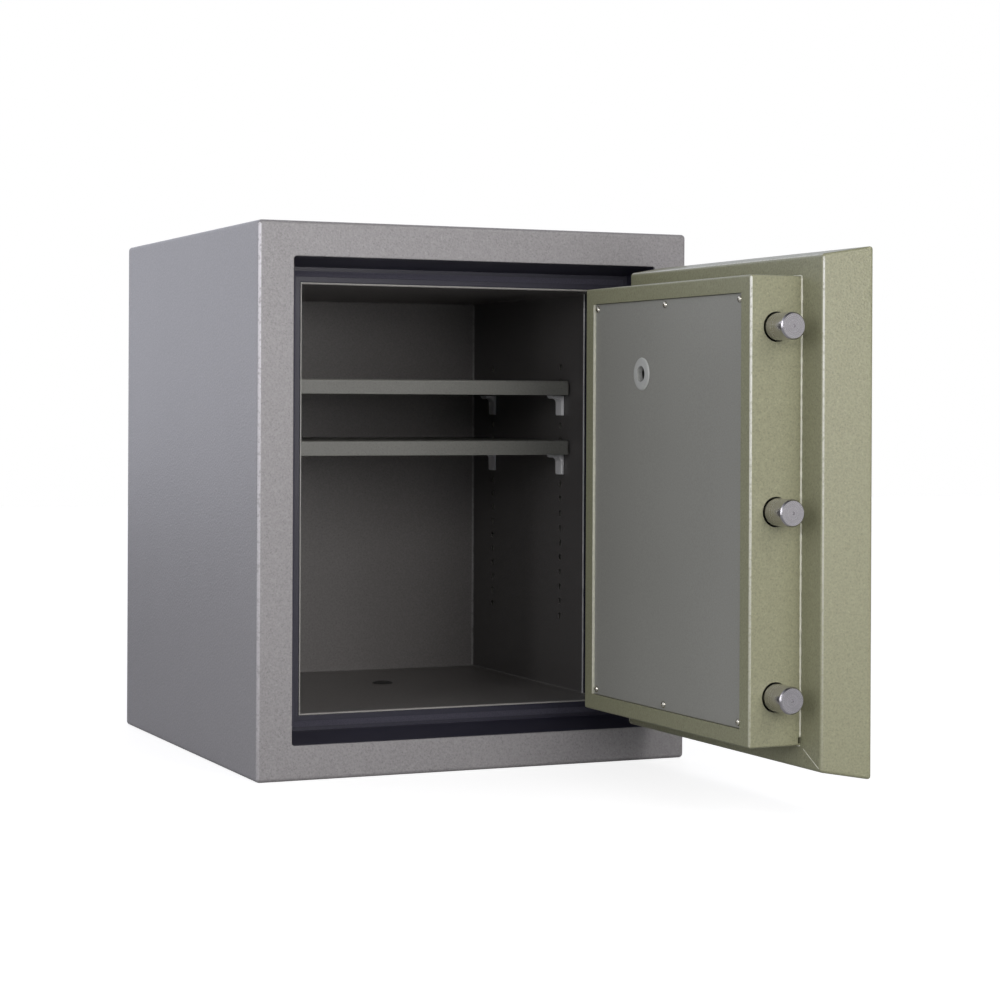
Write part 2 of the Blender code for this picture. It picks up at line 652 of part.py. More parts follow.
def make_handle(door):
    """The lever outside, its spindle through the slab, and the cam whose pin drives the carrier."""
    turn = pivot("handle_turn", place(HANDLE_X, 0, HANDLE_Z), door)
    plate = [(0.0068, 0.006), (0.022, 0.006), (0.026, 0.003), (0.026, GAP), (0.0068, GAP)]
    smooth(turned("handle_escutcheon", plate, -INTO, place(HANDLE_X, 0, HANDLE_Z), CHROME, door, sides=32))

    hub = [(0, 0.040), (0.010, 0.040), (0.014, 0.036), (0.013, 0.0065), (0, 0.0065)]
    lever = turned("handle_lever", hub, -INTO, place(HANDLE_X, 0, HANDLE_Z), CHROME, turn)
    end = LEVER_LONG
    grip = [(0, end), (0.006, end - 0.002), (0.0090, end - 0.008), (0.0082, 0.050), (0.0070, 0.006), (0, 0.004)]
    join(lever, turned("add_lever_grip", grip, -ACROSS, place(HANDLE_X, -LEVER_OUT, HANDLE_Z), None, turn))
    smooth(lever)

    cam_y = PLATE_Y[0] - CAM_PLAY
    cam_middle = cam_y - CAM_THICK / 2
    long = cam_y + 0.006
    middle = place(HANDLE_X, (cam_y - 0.006) / 2, HANDLE_Z)
    smooth(rod("handle_spindle", INTO, middle, SPINDLE, long, STEEL, turn, sides=16))

    cam = rod("handle_cam", INTO, place(HANDLE_X, cam_middle, HANDLE_Z), CAM_RADIUS, CAM_THICK, ZINC, turn)
    angle = -HANDLE_TURN / 2
    pin_x = HANDLE_X + CRANK * math.sin(angle)
    pin_z = HANDLE_Z + CRANK * math.cos(angle)
    web = block("add_cam_web", (-0.008, 0.008), (-0.0024, 0.0024), (0, CRANK), None, turn)
    web.location = (place(HANDLE_X, cam_middle, HANDLE_Z) + place(pin_x, cam_middle, pin_z)) / 2
    web.rotation_euler.y = angle
    pin = rod("add_cam_pin", INTO, place(pin_x, cam_y + 0.002, pin_z), CRANK_PIN, 0.014, None, turn, sides=16)
    boss = rod("add_cam_end", INTO, place(pin_x, cam_middle, pin_z), 0.009, CAM_THICK * 0.9, None, turn)
    join(cam, web, boss, pin)
    cut(cam, rod("cut_cam", INTO, place(HANDLE_X, cam_y, HANDLE_Z), SPINDLE + 0.0003, 0.03, None, turn, sides=16))


def make_dial(door):
    """The dial in its ring outside, its spindle, and the drive cam inside the lock."""
    spin = pivot("dial_spin", place(DIAL_X, 0, DIAL_Z), door)
    at = place(DIAL_X, 0, DIAL_Z)
    ring = [(0.0375, 0.0115), (0.0430, 0.0115), (0.0460, 0.0085), (0.0460, GAP), (0.0080, GAP)]
    ring += [(0.0080, 0.0035), (0.0375, 0.0035)]
    smooth(turned("dial_ring", ring, -INTO, at, RUBBER, door, sides=40))
    dial = [(0, 0.036), (0.0170, 0.036), (0.0190, 0.034), (0.0195, 0.019), (0.0235, 0.016)]
    dial += [(0.0365, 0.012), (0.0365, 0.0042), (0, 0.0042)]
    smooth(turned("dial_knob", dial, -INTO, at, RUBBER, spin, sides=40))

    start, end = -0.0038, DRIVE_CAM_Y[1] + 0.002
    middle = place(DIAL_X, (start + end) / 2, DIAL_Z)
    smooth(rod("dial_spindle", INTO, middle, DIAL_SPINDLE, end - start, STEEL, spin, sides=16))
    bore, outer, thick = 0.0043, 0.0130, DRIVE_CAM_Y[1] - DRIVE_CAM_Y[0]
    profile = [(bore, thick), (outer, thick), (outer, 0), (bore, 0)]
    cam = turned("drive_cam", profile, INTO, place(DIAL_X, DRIVE_CAM_Y[0], DIAL_Z), BRASS, spin)
    notch = across(DIAL_X - 0.003, DIAL_X + 0.003), into(0.06, 0.072), (DIAL_Z + 0.009, DIAL_Z + 0.02)
    cut(cam, block("cut_drive_cam", *notch, None, spin))
    smooth(cam)


def make_door():
    """The whole door, on the pivot of its hinges."""
    door = pivot("door_hinge", place(HINGE_X, HINGE_Y, 0))
    for name, height in HINGE_HEIGHTS.items():
        make_hinge(name, height, door)
    make_slab(door)
    make_inner_box(door)
    make_door_fittings(door)
    make_lock(door)
    make_lock_bolt(door)
    make_boltwork(door)
    make_handle(door)
    make_dial(door)
    door.rotation_euler.z = DOOR_ANGLE


clear_scene()
parts = collection("gun_safe")
cutters = collection("cutters")
OLIVE_GREY = paint("hammered_grey_paint", (0.36, 0.35, 0.33), 0.45, 0.0)
OLIVE = paint("hammered_olive_paint", (0.34, 0.34, 0.24), 0.45, 0.0)
PANEL_GREY = paint("grey_panel_paint", (0.18, 0.18, 0.17), 0.55, 0.0)
LINER = paint("liner_paint", (0.20, 0.19, 0.17), 0.5, 0.0)
NAVY = paint("black_jamb_paint", (0.02, 0.02, 0.03), 0.4, 0.0)
SEAL_GREY = paint("seal_strip", (0.03, 0.03, 0.03), 0.8, 0.0)
CONCRETE = paint("insulating_fill", (0.55, 0.54, 0.50), 0.9, 0.0)
RUBBER = paint("black_plastic", (0.02, 0.02, 0.02), 0.45, 0.0)
CLIP_GREY = paint("light_grey_plastic", (0.60, 0.60, 0.60), 0.45, 0.0)
STEEL = paint("turned_steel", (0.60, 0.59, 0.57), 0.3, 1.0)
CHROME = paint("chrome", (0.75, 0.75, 0.75), 0.12, 1.0)
RAW_STEEL = paint("plain_steel", (0.42, 0.42, 0.42), 0.4, 1.0)
ZINC = paint("zinc_casting", (0.50, 0.50, 0.50), 0.5, 1.0)
BRASS = paint("brass", (0.65, 0.50, 0.22), 0.35, 1.0)
make_cabinet()
make_door()
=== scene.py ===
"""The look of a compact fire and burglary safe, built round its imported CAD.

Metres, in the CAD's own frame. The door's pieces are modelled shut, then swung open to where the CAD has them.
"""
import json
import math

import bmesh
import bpy
from mathutils import Matrix, Vector


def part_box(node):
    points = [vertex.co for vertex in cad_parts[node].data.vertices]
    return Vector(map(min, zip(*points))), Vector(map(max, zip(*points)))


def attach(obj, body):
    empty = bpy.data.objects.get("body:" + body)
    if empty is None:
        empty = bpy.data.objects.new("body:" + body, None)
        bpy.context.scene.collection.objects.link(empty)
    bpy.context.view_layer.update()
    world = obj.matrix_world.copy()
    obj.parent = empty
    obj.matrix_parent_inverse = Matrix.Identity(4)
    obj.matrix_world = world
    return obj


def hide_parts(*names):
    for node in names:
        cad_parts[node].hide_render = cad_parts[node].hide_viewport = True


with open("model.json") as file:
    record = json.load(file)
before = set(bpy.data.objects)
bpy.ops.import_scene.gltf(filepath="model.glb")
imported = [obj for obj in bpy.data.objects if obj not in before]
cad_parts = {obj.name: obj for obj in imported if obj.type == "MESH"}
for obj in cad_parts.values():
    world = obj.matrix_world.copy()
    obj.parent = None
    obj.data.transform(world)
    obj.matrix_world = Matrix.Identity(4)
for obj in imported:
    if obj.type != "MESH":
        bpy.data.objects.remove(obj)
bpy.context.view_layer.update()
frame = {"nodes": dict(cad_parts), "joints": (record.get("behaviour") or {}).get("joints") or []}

ACROSS, INTO, UP = Vector((1, 0, 0)), Vector((0, 1, 0)), Vector((0, 0, 1))
# the thickness of the sheet metal, and the gap between pieces that fit together
SHEET, GAP = 0.0015, 0.0003
BOLTS = ("lower_bolt", "middle_bolt", "upper_bolt")
SCREWS = range(1, 7)

# columns of holes in the liner's side walls, each hole undercut behind a thin rim
HOLE_ROWS, HOLE_PITCH, FIRST_HOLE = 18, 0.0155, 0.1335
HOLE_RADIUS, HOLE_UNDERCUT, HOLE_RIM = 0.0032, 0.0028, 0.0005
# the radii of the other holes
ANCHOR_HOLE, SPINDLE_HOLE, BOLT_HOLE, SCREW_HOLE, KEY_HOLE = 0.008, 0.0065, 0.0131, 0.0021, 0.0086

# the hinges: the radii of a barrel and of its bore, and the thickness of a leaf
BARREL, BORE, LEAF = 0.0075, 0.00435, 0.0047


# ---------------------------------------------------------------- where the CAD's nodes are

hinge = next(j for j in frame["joints"] if j["name"] == "door_hinge")
hinge_axis = Vector((*hinge["pos_m"][:2], 0))
swing = (
    Matrix.Translation(hinge_axis)
    @ Matrix.Rotation(math.radians(-hinge["range_deg"][0]), 4, "Z")
    @ Matrix.Translation(-hinge_axis)
)


def extent(points):
    points = list(points)
    return tuple(Vector(pick(p[i] for p in points) for i in range(3)) for pick in (min, max))


def shut(node, keep=None):
    """A door node's lowest and highest corners with the door shut, of the corners that pass the test."""
    back = swing.inverted()
    points = [back @ v.co for v in frame["nodes"][node].data.vertices]
    return extent(p for p in points if keep is None or keep(p))


def part_of(node, keep):
    """The same for a cabinet node."""
    return extent(v.co for v in frame["nodes"][node].data.vertices if keep(v.co))


def middle(box):
    return (box[0] + box[1]) / 2


# ---------------------------------------------------------------- meshes

def block(low, high, radius=0.0, segments=4, chosen=None):
    """A block, with the edges whose middle passes the test rounded."""
    bm = bmesh.new()
    bmesh.ops.create_cube(bm, size=1)
    for v in bm.verts:
        v.co = Vector(low[i] if v.co[i] < 0 else high[i] for i in range(3))
    round_off(bm, radius, segments, chosen)
    return bm


def wedge(front, back, radius=0.0, segments=5):
    """A block whose x and z ranges change evenly from its front to its back: two boxes, each flat in y."""
    bm = bmesh.new()
    bmesh.ops.create_cube(bm, size=2)
    for v in bm.verts:
        low, high = front if v.co.y < 0 else back
        v.co = Vector((high.x if v.co.x > 0 else low.x, low.y, high.z if v.co.z > 0 else low.z))
    round_off(bm, radius, segments)
    return bm


def round_off(bm, radius, segments, chosen=None):
    if radius:
        edges = [e for e in bm.edges if chosen is None or chosen((e.verts[0].co + e.verts[1].co) / 2)]
        bmesh.ops.bevel(bm, geom=edges, offset=radius, segments=segments, profile=0.5, affect="EDGES")


def lathe(profile, sides=64, closed=False, ripple=None):
    """A turned piece about +Z from (radius, height) points. Each point keeps its distance along the profile."""
    bm = bmesh.new()
    along = bm.verts.layers.float.new("along")
    rings, distance, before = [], 0.0, profile[0]
    for radius, height in profile:
        distance += math.dist((radius, height), before)
        before = (radius, height)
        ring = []
        for i in range(sides if radius > 0 else 1):
            angle = math.tau * i / sides
            r = radius + (ripple(radius, height, angle) if ripple and radius > 0 else 0)
            vert = bm.verts.new((r * math.cos(angle), r * math.sin(angle), height))
            vert[along] = distance
            ring.append(vert)
        rings.append(ring)
    pairs = list(zip(rings, rings[1:]))
    if closed:
        pairs.append((rings[-1], rings[0]))
    for a, b in pairs:
        for i in range(sides):
            j = (i + 1) % sides
            corners = [a[i % len(a)], a[j % len(a)], b[j % len(b)], b[i % len(b)]]
            unique = list(dict.fromkeys(corners))
            if len(unique) > 2:
                bm.faces.new(unique)
    bmesh.ops.recalc_face_normals(bm, faces=bm.faces)
    return bm


def rod(radius, reach, sides):
    """A round bar about +Z, reaching equally far both ways, to cut holes with."""
    return lathe([(0, reach), (radius, reach), (radius, -reach), (0, -reach)], sides)


def eased(profile, radius, steps=3):
    """The profile with each inner corner rounded by short arcs."""
    out = [profile[0]]
    for before, at, after in zip(profile, profile[1:], profile[2:]):
        p, a, b = Vector(at), Vector(before) - Vector(at), Vector(after) - Vector(at)
        cut = min(radius, a.length * 0.45, b.length * 0.45)
        start, end = p + a.normalized() * cut, p + b.normalized() * cut
        for k in range(steps + 1):
            t = k / steps
            point = start * (1 - t) ** 2 + p * 2 * t * (1 - t) + end * t * t
            out.append((max(point.x, 0.0), point.y))
    out.append(profile[-1])
    return out


def prism(outline, low, high):
    """An outline of (x, z) points pushed out along y from low to high."""
    bm = bmesh.new()
    near = [bm.verts.new((x, low, z)) for x, z in outline]
    face = bm.faces.new(near)
    pushed = bmesh.ops.extrude_face_region(bm, geom=[face])
    for v in pushed["geom"]:
        if isinstance(v, bmesh.types.BMVert):
            v.co.y = high
    bmesh.ops.recalc_face_normals(bm, faces=bm.faces)
    return bm


def moved(bm, matrix):
    bmesh.ops.transform(bm, matrix=matrix, verts=bm.verts)
    return bm


def facing(axis, at):
    """Turns +Z to the axis and moves the origin to the point."""
    return Matrix.Translation(at) @ UP.rotation_difference(axis).to_matrix().to_4x4()


def together(*meshes):
    """One bmesh of several that stay apart or lie in each other as closed shells."""
    scratch = bpy.data.meshes.new("scratch")
    whole = bmesh.new()
    for bm in meshes:
        bm.to_mesh(scratch)
        whole.from_mesh(scratch)
        bm.free()
    bpy.data.meshes.remove(scratch)
    return whole


def as_object(name, bm):
    mesh = bpy.data.meshes.new(name)
    bm.to_mesh(mesh)
    bm.free()
    made = bpy.data.objects.new(name, mesh)
    bpy.context.scene.collection.objects.link(made)
    return made


def carve(bm, *cutters, operation="DIFFERENCE"):
    """The first mesh with the others taken away from it, or added to it."""
    target = as_object("target", bm)
    others = [as_object("other", other) for other in cutters]
    for other in others:
        step = target.modifiers.new("step", "BOOLEAN")
        step.operation, step.object, step.solver = operation, other, "EXACT"
    shaped = bpy.data.meshes.new_from_object(target.evaluated_get(bpy.context.evaluated_depsgraph_get()))
    result = bmesh.new()
    result.from_mesh(shaped)
    for obj in (target, *others):
        mesh = obj.data
        bpy.data.objects.remove(obj)
        bpy.data.meshes.remove(mesh)
    bpy.data.meshes.remove(shaped)
    return result


def paint_edge_highlight(bm, towards, least=0.96, near=None, amount=1.0, lowest=1.0):
    """Marks the points of rounded edges that face this way for a painted highlight, a paler colour standing in for the
    light these edges catch.

    The painted highlight's amount falls to the lowest share of it from the mesh's top to its foot.
    """
    bm.normal_update()
    painted_highlight = bm.verts.layers.float.get("painted_highlight") or bm.verts.layers.float.new("painted_highlight")
    towards = Vector(towards).normalized()
    foot, top = (pick(v.co.z for v in bm.verts) for pick in (min, max))
    for v in bm.verts:
        if v.normal.dot(towards) > least and (near is None or near(v.co)):
            v[painted_highlight] = amount * (lowest + (1 - lowest) * (v.co.z - foot) / (top - foot))
    return bm


def piece(name, bm, body, finish, slot, *nodes, swung=None, angle=40):
    """A finished piece on its body. Pieces of the door and of what it carries are swung open with it."""
    if swung is None:
        swung = body != "cabinet"
    if swung:
        moved(bm, swing)
    made = as_object(name, bm)
    made.data.materials.append(finish)
    made.data.shade_smooth()
    made.data.set_sharp_from_angle(angle=math.radians(angle))
    made.modifiers.new("flat_faces", "WEIGHTED_NORMAL").keep_sharp = True
    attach(made, body)
    if nodes:
        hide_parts(*nodes)
    return made


def keep(finish, *nodes):
    """CAD nodes whose shape is right, with the finish."""
    for node in nodes:
        obj = frame["nodes"][node]
        for place in obj.material_slots:
            place.material = finish


# ---------------------------------------------------------------- materials

def start(name, roughness=0.5, metallic=0.0, specular=0.5):
    made = bpy.data.materials.new(name)
    made.use_nodes = True
    shader = made.node_tree.nodes["Principled BSDF"]
    shader.inputs["Roughness"].default_value = roughness
    shader.inputs["Metallic"].default_value = metallic
    shader.inputs["Specular IOR Level"].default_value = specular
    return made, made.node_tree, shader


def add(tree, kind, values=None, **settings):
    node = tree.nodes.new(kind)
    for key, value in settings.items():
        setattr(node, key, value)
    for key, value in (values or {}).items():
        if isinstance(value, bpy.types.NodeSocket):
            tree.links.new(value, node.inputs[key])
        else:
            node.inputs[key].default_value = value
    return node


def where(tree, stretch=(1, 1, 1)):
    spot = add(tree, "ShaderNodeTexCoord").outputs["Object"]
    if stretch == (1, 1, 1):
        return spot
    return add(tree, "ShaderNodeMapping", {"Vector": spot, "Scale": stretch}).outputs["Vector"]


def noise(tree, spot, scale, detail=2.0, roughness=0.5):
    values = {"Vector": spot, "Scale": scale, "Detail": detail, "Roughness": roughness}
    return add(tree, "ShaderNodeTexNoise", values).outputs["Fac"]


def spread(tree, value, low, high, to_low, to_high):
    """Maps a value's range to another, clamped."""
    return add(tree, "ShaderNodeMapRange", {0: value, 1: low, 2: high, 3: to_low, 4: to_high}).outputs["Result"]


def blend(tree, factor, a, b, mode="MIX"):
    def colour(c):
        return c if isinstance(c, bpy.types.NodeSocket) else (*c, 1)

    node = add(tree, "ShaderNodeMix", {0: factor, 6: colour(a), 7: colour(b)}, data_type="RGBA", blend_type=mode)
    return node.outputs[2]


def times(tree, a, b):
    return add(tree, "ShaderNodeMath", {0: a, 1: b}, operation="MULTIPLY").outputs[0]


def bump(tree, shader, height, distance, strength=1.0, under=None):
    values = {"Height": height, "Distance": distance, "Strength": strength}
    if under:
        values["Normal"] = under
    made = add(tree, "ShaderNodeBump", values).outputs["Normal"]
    tree.links.new(made, shader.inputs["Normal"])
    return made


def shades(colour, low, high):
    return tuple(c * low for c in colour), tuple(c * high for c in colour)


def hammered_paint(name, colour, depth=0.00018, roughness=0.34, contrast=0.09, highlight_colour=(0.84, 0.82, 0.85), sides=1.0):
    """Hammer-finish paint: fine dimples with lighter rims, sparse dark specks of painted shade for its pits, and pale
    specks of painted glint.

    Edges marked for the painted highlight turn paler, and side panels can be darkened as painted shade.
    """
    made, tree, shader = start(name)
    spot = where(tree)
    cell = 0.0021
    wobble = add(tree, "ShaderNodeTexNoise", {"Vector": spot, "Scale": 380, "Detail": 3})
    bent = blend(tree, 0.0014, spot, wobble.outputs["Color"], "ADD")
    cells = add(
        tree, "ShaderNodeTexVoronoi", {"Vector": bent, "Scale": 1 / cell, "Smoothness": 0.4}, feature="SMOOTH_F1"
    ).outputs["Distance"]
    fine = noise(tree, spot, 1500, 3, 0.6)
    pits = noise(tree, spot, 560, 3, 0.6)
    drift = noise(tree, spot, 9, 2)
    low, high = shades(colour, 1 - contrast, 1 + contrast)
    tone = blend(tree, spread(tree, cells, 0.1, 0.75, 0, 1), low, high)
    # painted shade and highlight: sparse dark specks stand in for shadow in the paint's pits, and pale specks are
    # painted glints
    tone = blend(tree, spread(tree, pits, 0.58, 0.66, 0.0, 0.55), tone, tuple(c * 0.60 for c in colour))
    tone = blend(tree, spread(tree, pits, 0.40, 0.32, 0.0, 0.6), tone, tuple(c * 1.35 for c in colour))
    tone = blend(tree, spread(tree, drift, 0.35, 0.65, 0.0, 0.12), tone, tuple(c * 1.2 for c in colour))
    # painted shade: faces that look along x, the side panels, are darkened towards the given share of the colour
    if sides < 1:
        normal = add(tree, "ShaderNodeNewGeometry").outputs["True Normal"]
        across = add(tree, "ShaderNodeSeparateXYZ", {0: normal}).outputs["X"]
        tone = blend(tree, times(tree, across, across), tone, tuple(c * sides for c in colour))
    # painted highlight: marked edges blend towards the paler highlight colour, broken up by noise
    painted_highlight = add(tree, "ShaderNodeAttribute", attribute_name="painted_highlight").outputs["Fac"]
    highlight_share = times(tree, painted_highlight, spread(tree, noise(tree, spot, 330, 3), 0.32, 0.5, 0.45, 1.0))
    tree.links.new(blend(tree, highlight_share, tone, highlight_colour), shader.inputs["Base Color"])
    tree.links.new(spread(tree, fine, 0.3, 0.7, roughness - 0.05, roughness + 0.07), shader.inputs["Roughness"])
    first = bump(tree, shader, cells, depth, 0.75)
    bump(tree, shader, fine, depth * 0.35, 0.5, first)
    return made


def smooth_paint(name, colour, roughness=0.4, grain=0.00003, scale=700, specular=0.5):
    """Sprayed paint with a fine orange peel."""
    made, tree, shader = start(name, roughness, specular=specular)
    spot = where(tree)
    peel = noise(tree, spot, scale, 2.5)
    drift = noise(tree, spot, 7, 3)
    low, high = shades(colour, 0.92, 1.08)
    tone = blend(tree, spread(tree, peel, 0.3, 0.7, 0, 1), low, high)
    tone = blend(tree, spread(tree, drift, 0.35, 0.7, 0, 0.1), tone, tuple(min(c * 1.3, 1) for c in colour))
    tree.links.new(tone, shader.inputs["Base Color"])
    tree.links.new(spread(tree, drift, 0.3, 0.7, roughness - 0.05, roughness + 0.08), shader.inputs["Roughness"])
    bump(tree, shader, peel, grain, 0.7)
    return made


def moulded(name, colour, roughness=0.45):
    """Moulded plastic with a fine spark-eroded grain."""
    made, tree, shader = start(name, roughness)
    spot = where(tree)
    grain = noise(tree, spot, 2200, 2)
    flow = noise(tree, spot, 60, 3)
    low, high = shades(colour, 0.90, 1.08)
    tree.links.new(blend(tree, flow, low, high), shader.inputs["Base Color"])
    tree.links.new(spread(tree, grain, 0.3, 0.7, roughness - 0.06, roughness + 0.08), shader.inputs["Roughness"])
    bump(tree, shader, grain, 0.00002, 0.5)
    return made


def turned_metal(name, colour, roughness=0.28, groove=0.000012):
    """Metal from the lathe: fine rings, from each point's distance along the turned profile."""
    made, tree, shader = start(name, roughness, 1.0)
    along = add(tree, "ShaderNodeAttribute", attribute_name="along").outputs["Fac"]
    rings = add(
        tree, "ShaderNodeTexNoise", {"W": along, "Scale": 2600, "Detail": 3}, noise_dimensions="1D"
    ).outputs["Fac"]
    smear = noise(tree, where(tree), 140, 3)
    low, high = shades(colour, 0.84, 1.08)
    tone = blend(tree, spread(tree, rings, 0.25, 0.75, 0, 1), low, high)
    tone = blend(tree, spread(tree, smear, 0.45, 0.75, 0, 0.35), tone, tuple(c * 0.75 for c in colour))
    tree.links.new(tone, shader.inputs["Base Color"])
    tree.links.new(spread(tree, rings, 0.25, 0.75, roughness - 0.06, roughness + 0.14), shader.inputs["Roughness"])
    bump(tree, shader, rings, groove, 0.8)
    return made


def milled_metal(name, colour, roughness, stretch=(1, 1, 40), grain=0.00002):
    """Sheet, bar or cast metal with a directional grain and faint stains."""
    made, tree, shader = start(name, roughness, 1.0)
    lines = noise(tree, where(tree, stretch), 60, 4, 0.6)
    stains = noise(tree, where(tree), 35, 4, 0.6)
    low, high = shades(colour, 0.8, 1.1)
    tone = blend(tree, spread(tree, lines, 0.3, 0.7, 0, 1), low, high)
    tone = blend(tree, spread(tree, stains, 0.5, 0.8, 0, 0.3), tone, tuple(c * 0.55 for c in colour))
    tree.links.new(tone, shader.inputs["Base Color"])
    tree.links.new(spread(tree, lines, 0.3, 0.7, roughness - 0.06, roughness + 0.12), shader.inputs["Roughness"])
    bump(tree, shader, lines, grain, 0.6)
    return made


def plated(name, colour, roughness=0.09):
    """Polished plating, faintly wavy, with a haze of fine handling marks."""
    made, tree, shader = start(name, roughness, 1.0)
    spot = where(tree)
    haze = noise(tree, spot, 45, 4, 0.65)
    marks = noise(tree, where(tree, (6, 60, 60)), 30, 3)
    low, high = shades(colour, 0.93, 1.04)
    tree.links.new(blend(tree, haze, low, high), shader.inputs["Base Color"])
    tree.links.new(spread(tree, haze, 0.4, 0.7, roughness, roughness + 0.12), shader.inputs["Roughness"])
    bump(tree, shader, marks, 0.000006, 0.4)
    return made


def cast_fill(name, colour):
    """Poured insulating concrete: pale, dull and pitted."""
    made, tree, shader = start(name, 0.95, specular=0.2)
    spot = where(tree)
    lumps = noise(tree, spot, 180, 6, 0.7)
    pits = add(tree, "ShaderNodeTexVoronoi", {"Vector": spot, "Scale": 240}).outputs["Distance"]
    low, high = shades(colour, 0.7, 1.1)
    tree.links.new(blend(tree, lumps, low, high), shader.inputs["Base Color"])
    bump(tree, shader, pits, 0.0006, 0.8)
    return made


def fibre(name, colour):
    """Pressed fibre strip, the heat seal."""
    made, tree, shader = start(name, 0.9, specular=0.2)
    strands = noise(tree, where(tree, (1, 8, 1)), 900, 4, 0.7)
    low, high = shades(colour, 0.6, 1.5)
    tree.links.new(blend(tree, strands, low, high), shader.inputs["Base Color"])
    bump(tree, shader, strands, 0.00015, 0.8)
    return made


# painted highlight: marked rounded edges in these paints turn towards a paler highlight colour, the default one for the
# grey
GREY = hammered_paint("grey_hammertone", (0.300, 0.289, 0.292))
OLIVE = hammered_paint("olive_hammertone", (0.270, 0.270, 0.172), highlight_colour=(0.80, 0.80, 0.74))
# the liner's side panels are darkened to 0.55 of its colour as painted shade, and its highlight colour is a painted
# highlight on its marked corner
LINER = hammered_paint(
    "liner_hammertone", (0.184, 0.175, 0.169), depth=0.00009, roughness=0.38, highlight_colour=(0.42, 0.42, 0.41), sides=0.55
)
SHELF = hammered_paint("shelf_hammertone", (0.170, 0.171, 0.154), depth=0.00004, contrast=0.05)
PANEL = smooth_paint("panel_paint", (0.295, 0.295, 0.264), 0.42)
NAVY = smooth_paint("jamb_paint", (0.027, 0.026, 0.042), 0.34, scale=500, specular=0.38)
EDGE = smooth_paint("sheet_edge_paint", (0.35, 0.345, 0.32), 0.4)
# a pale colour for the liner walls' front edges: partly the sheet's bare edge, partly painted highlight
BARE_EDGE_AND_HIGHLIGHT = smooth_paint("bare_edge_and_highlight_paint", (0.80, 0.79, 0.78), 0.35, grain=0.00006, scale=420)
# painted highlight: the pale cream of the weld beads, the mitre lines and the cover's lip strip stands in for glints
# along them
BEAD_HIGHLIGHT = smooth_paint("bead_highlight_paint", (0.68, 0.68, 0.56), 0.30, grain=0.00008, scale=260)
SEAL = fibre("seal_fibre", (0.062, 0.060, 0.080))
FILL = cast_fill("poured_fill", (0.52, 0.51, 0.47))
BLACK = moulded("black_moulding", (0.016, 0.016, 0.017), 0.38)
CLIP = moulded("white_moulding", (0.90, 0.90, 0.90), 0.36)
GROMMET = moulded("grey_moulding", (0.50, 0.51, 0.48), 0.42)
RUBBER = moulded("black_rubber", (0.036, 0.035, 0.034), 0.6)
MARK = moulded("white_marking", (0.78, 0.78, 0.76), 0.5)
STEEL = turned_metal("lathe_steel", (0.60, 0.585, 0.59))
BOLT = turned_metal("bolt_steel", (0.56, 0.545, 0.565), roughness=0.14, groove=0.000004)
BRASS = turned_metal("lathe_brass", (0.66, 0.50, 0.23), 0.3)
CHROME = plated("polished_chrome", (0.76, 0.77, 0.78))
SCREW = plated("screw_plating", (0.76, 0.74, 0.64), 0.14)
BAR = milled_metal("mill_steel", (0.40, 0.40, 0.41), 0.38)
ZINC = milled_metal("cast_zinc", (0.30, 0.30, 0.31), 0.55, stretch=(1, 1, 1), grain=0.00006)


# ---------------------------------------------------------------- cabinet

def make_casing():
    low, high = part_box("outer_casing")
    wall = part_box("back_panel")[0].x - low.x - GAP
    radius, margin, deep = 0.004, 0.02, Vector((0, 0.02, 0))

    def in_doorway(p):
        return low.x + margin < p.x < high.x - margin and margin < p.z < high.z - margin

    door_low, door_high = part_of("outer_casing", lambda p: p.y < low.y + 0.0001 and in_doorway(p))
    shell = block(low, high, radius, 7, lambda p: p.y < high.y - 0.001)
    inset = Vector((wall, wall, wall))
    room = block(low + inset, high - inset + Vector((0, 0.05, 0)), 0.0015, 3, lambda p: p.y < high.y)
    mid = middle((door_low, door_high)).y
    doorway = block(door_low - deep, door_high + deep, 0.0030, 5, lambda p: abs(p.y - mid) < 0.001)
    plug = middle(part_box("anchor_plug"))
    hole = moved(rod(ANCHOR_HOLE, 0.03, 40), Matrix.Translation((plug.x, plug.y, 0)))
    shell = carve(shell, room, doorway, hole)
    rim = [e for e in shell.edges if all(abs(v.co.y - low.y) < 1e-5 and in_doorway(v.co) for v in e.verts)]
    bmesh.ops.bevel(shell, geom=rim, offset=0.0007, segments=3, profile=0.5, affect="EDGES")
    # painted highlight along the casing's front-left rounded edge, fading towards the foot
    paint_edge_highlight(shell, (-1, -1, 0), 0.93, near=lambda p: p.x < low.x + radius and p.y < low.y + radius, lowest=0.2)
    piece("casing_body", shell, "cabinet", GREY, "hammered_grey_paint", "outer_casing")

    low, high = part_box("back_panel")
    piece("casing_back", block(low, high, 0.0004, 2), "cabinet", GREY, "hammered_grey_paint", "back_panel")
    seams = []
    for side in (low.x, high.x):
        seams.append(weld_line(Vector((side, high.y, low.z)), Vector((side, high.y, high.z)), INTO))
    for side in (low.z, high.z):
        seams.append(weld_line(Vector((low.x, high.y, side)), Vector((high.x, high.y, side)), INTO))
    piece("back_weld", together(*seams), "cabinet", GREY, "hammered_grey_paint")


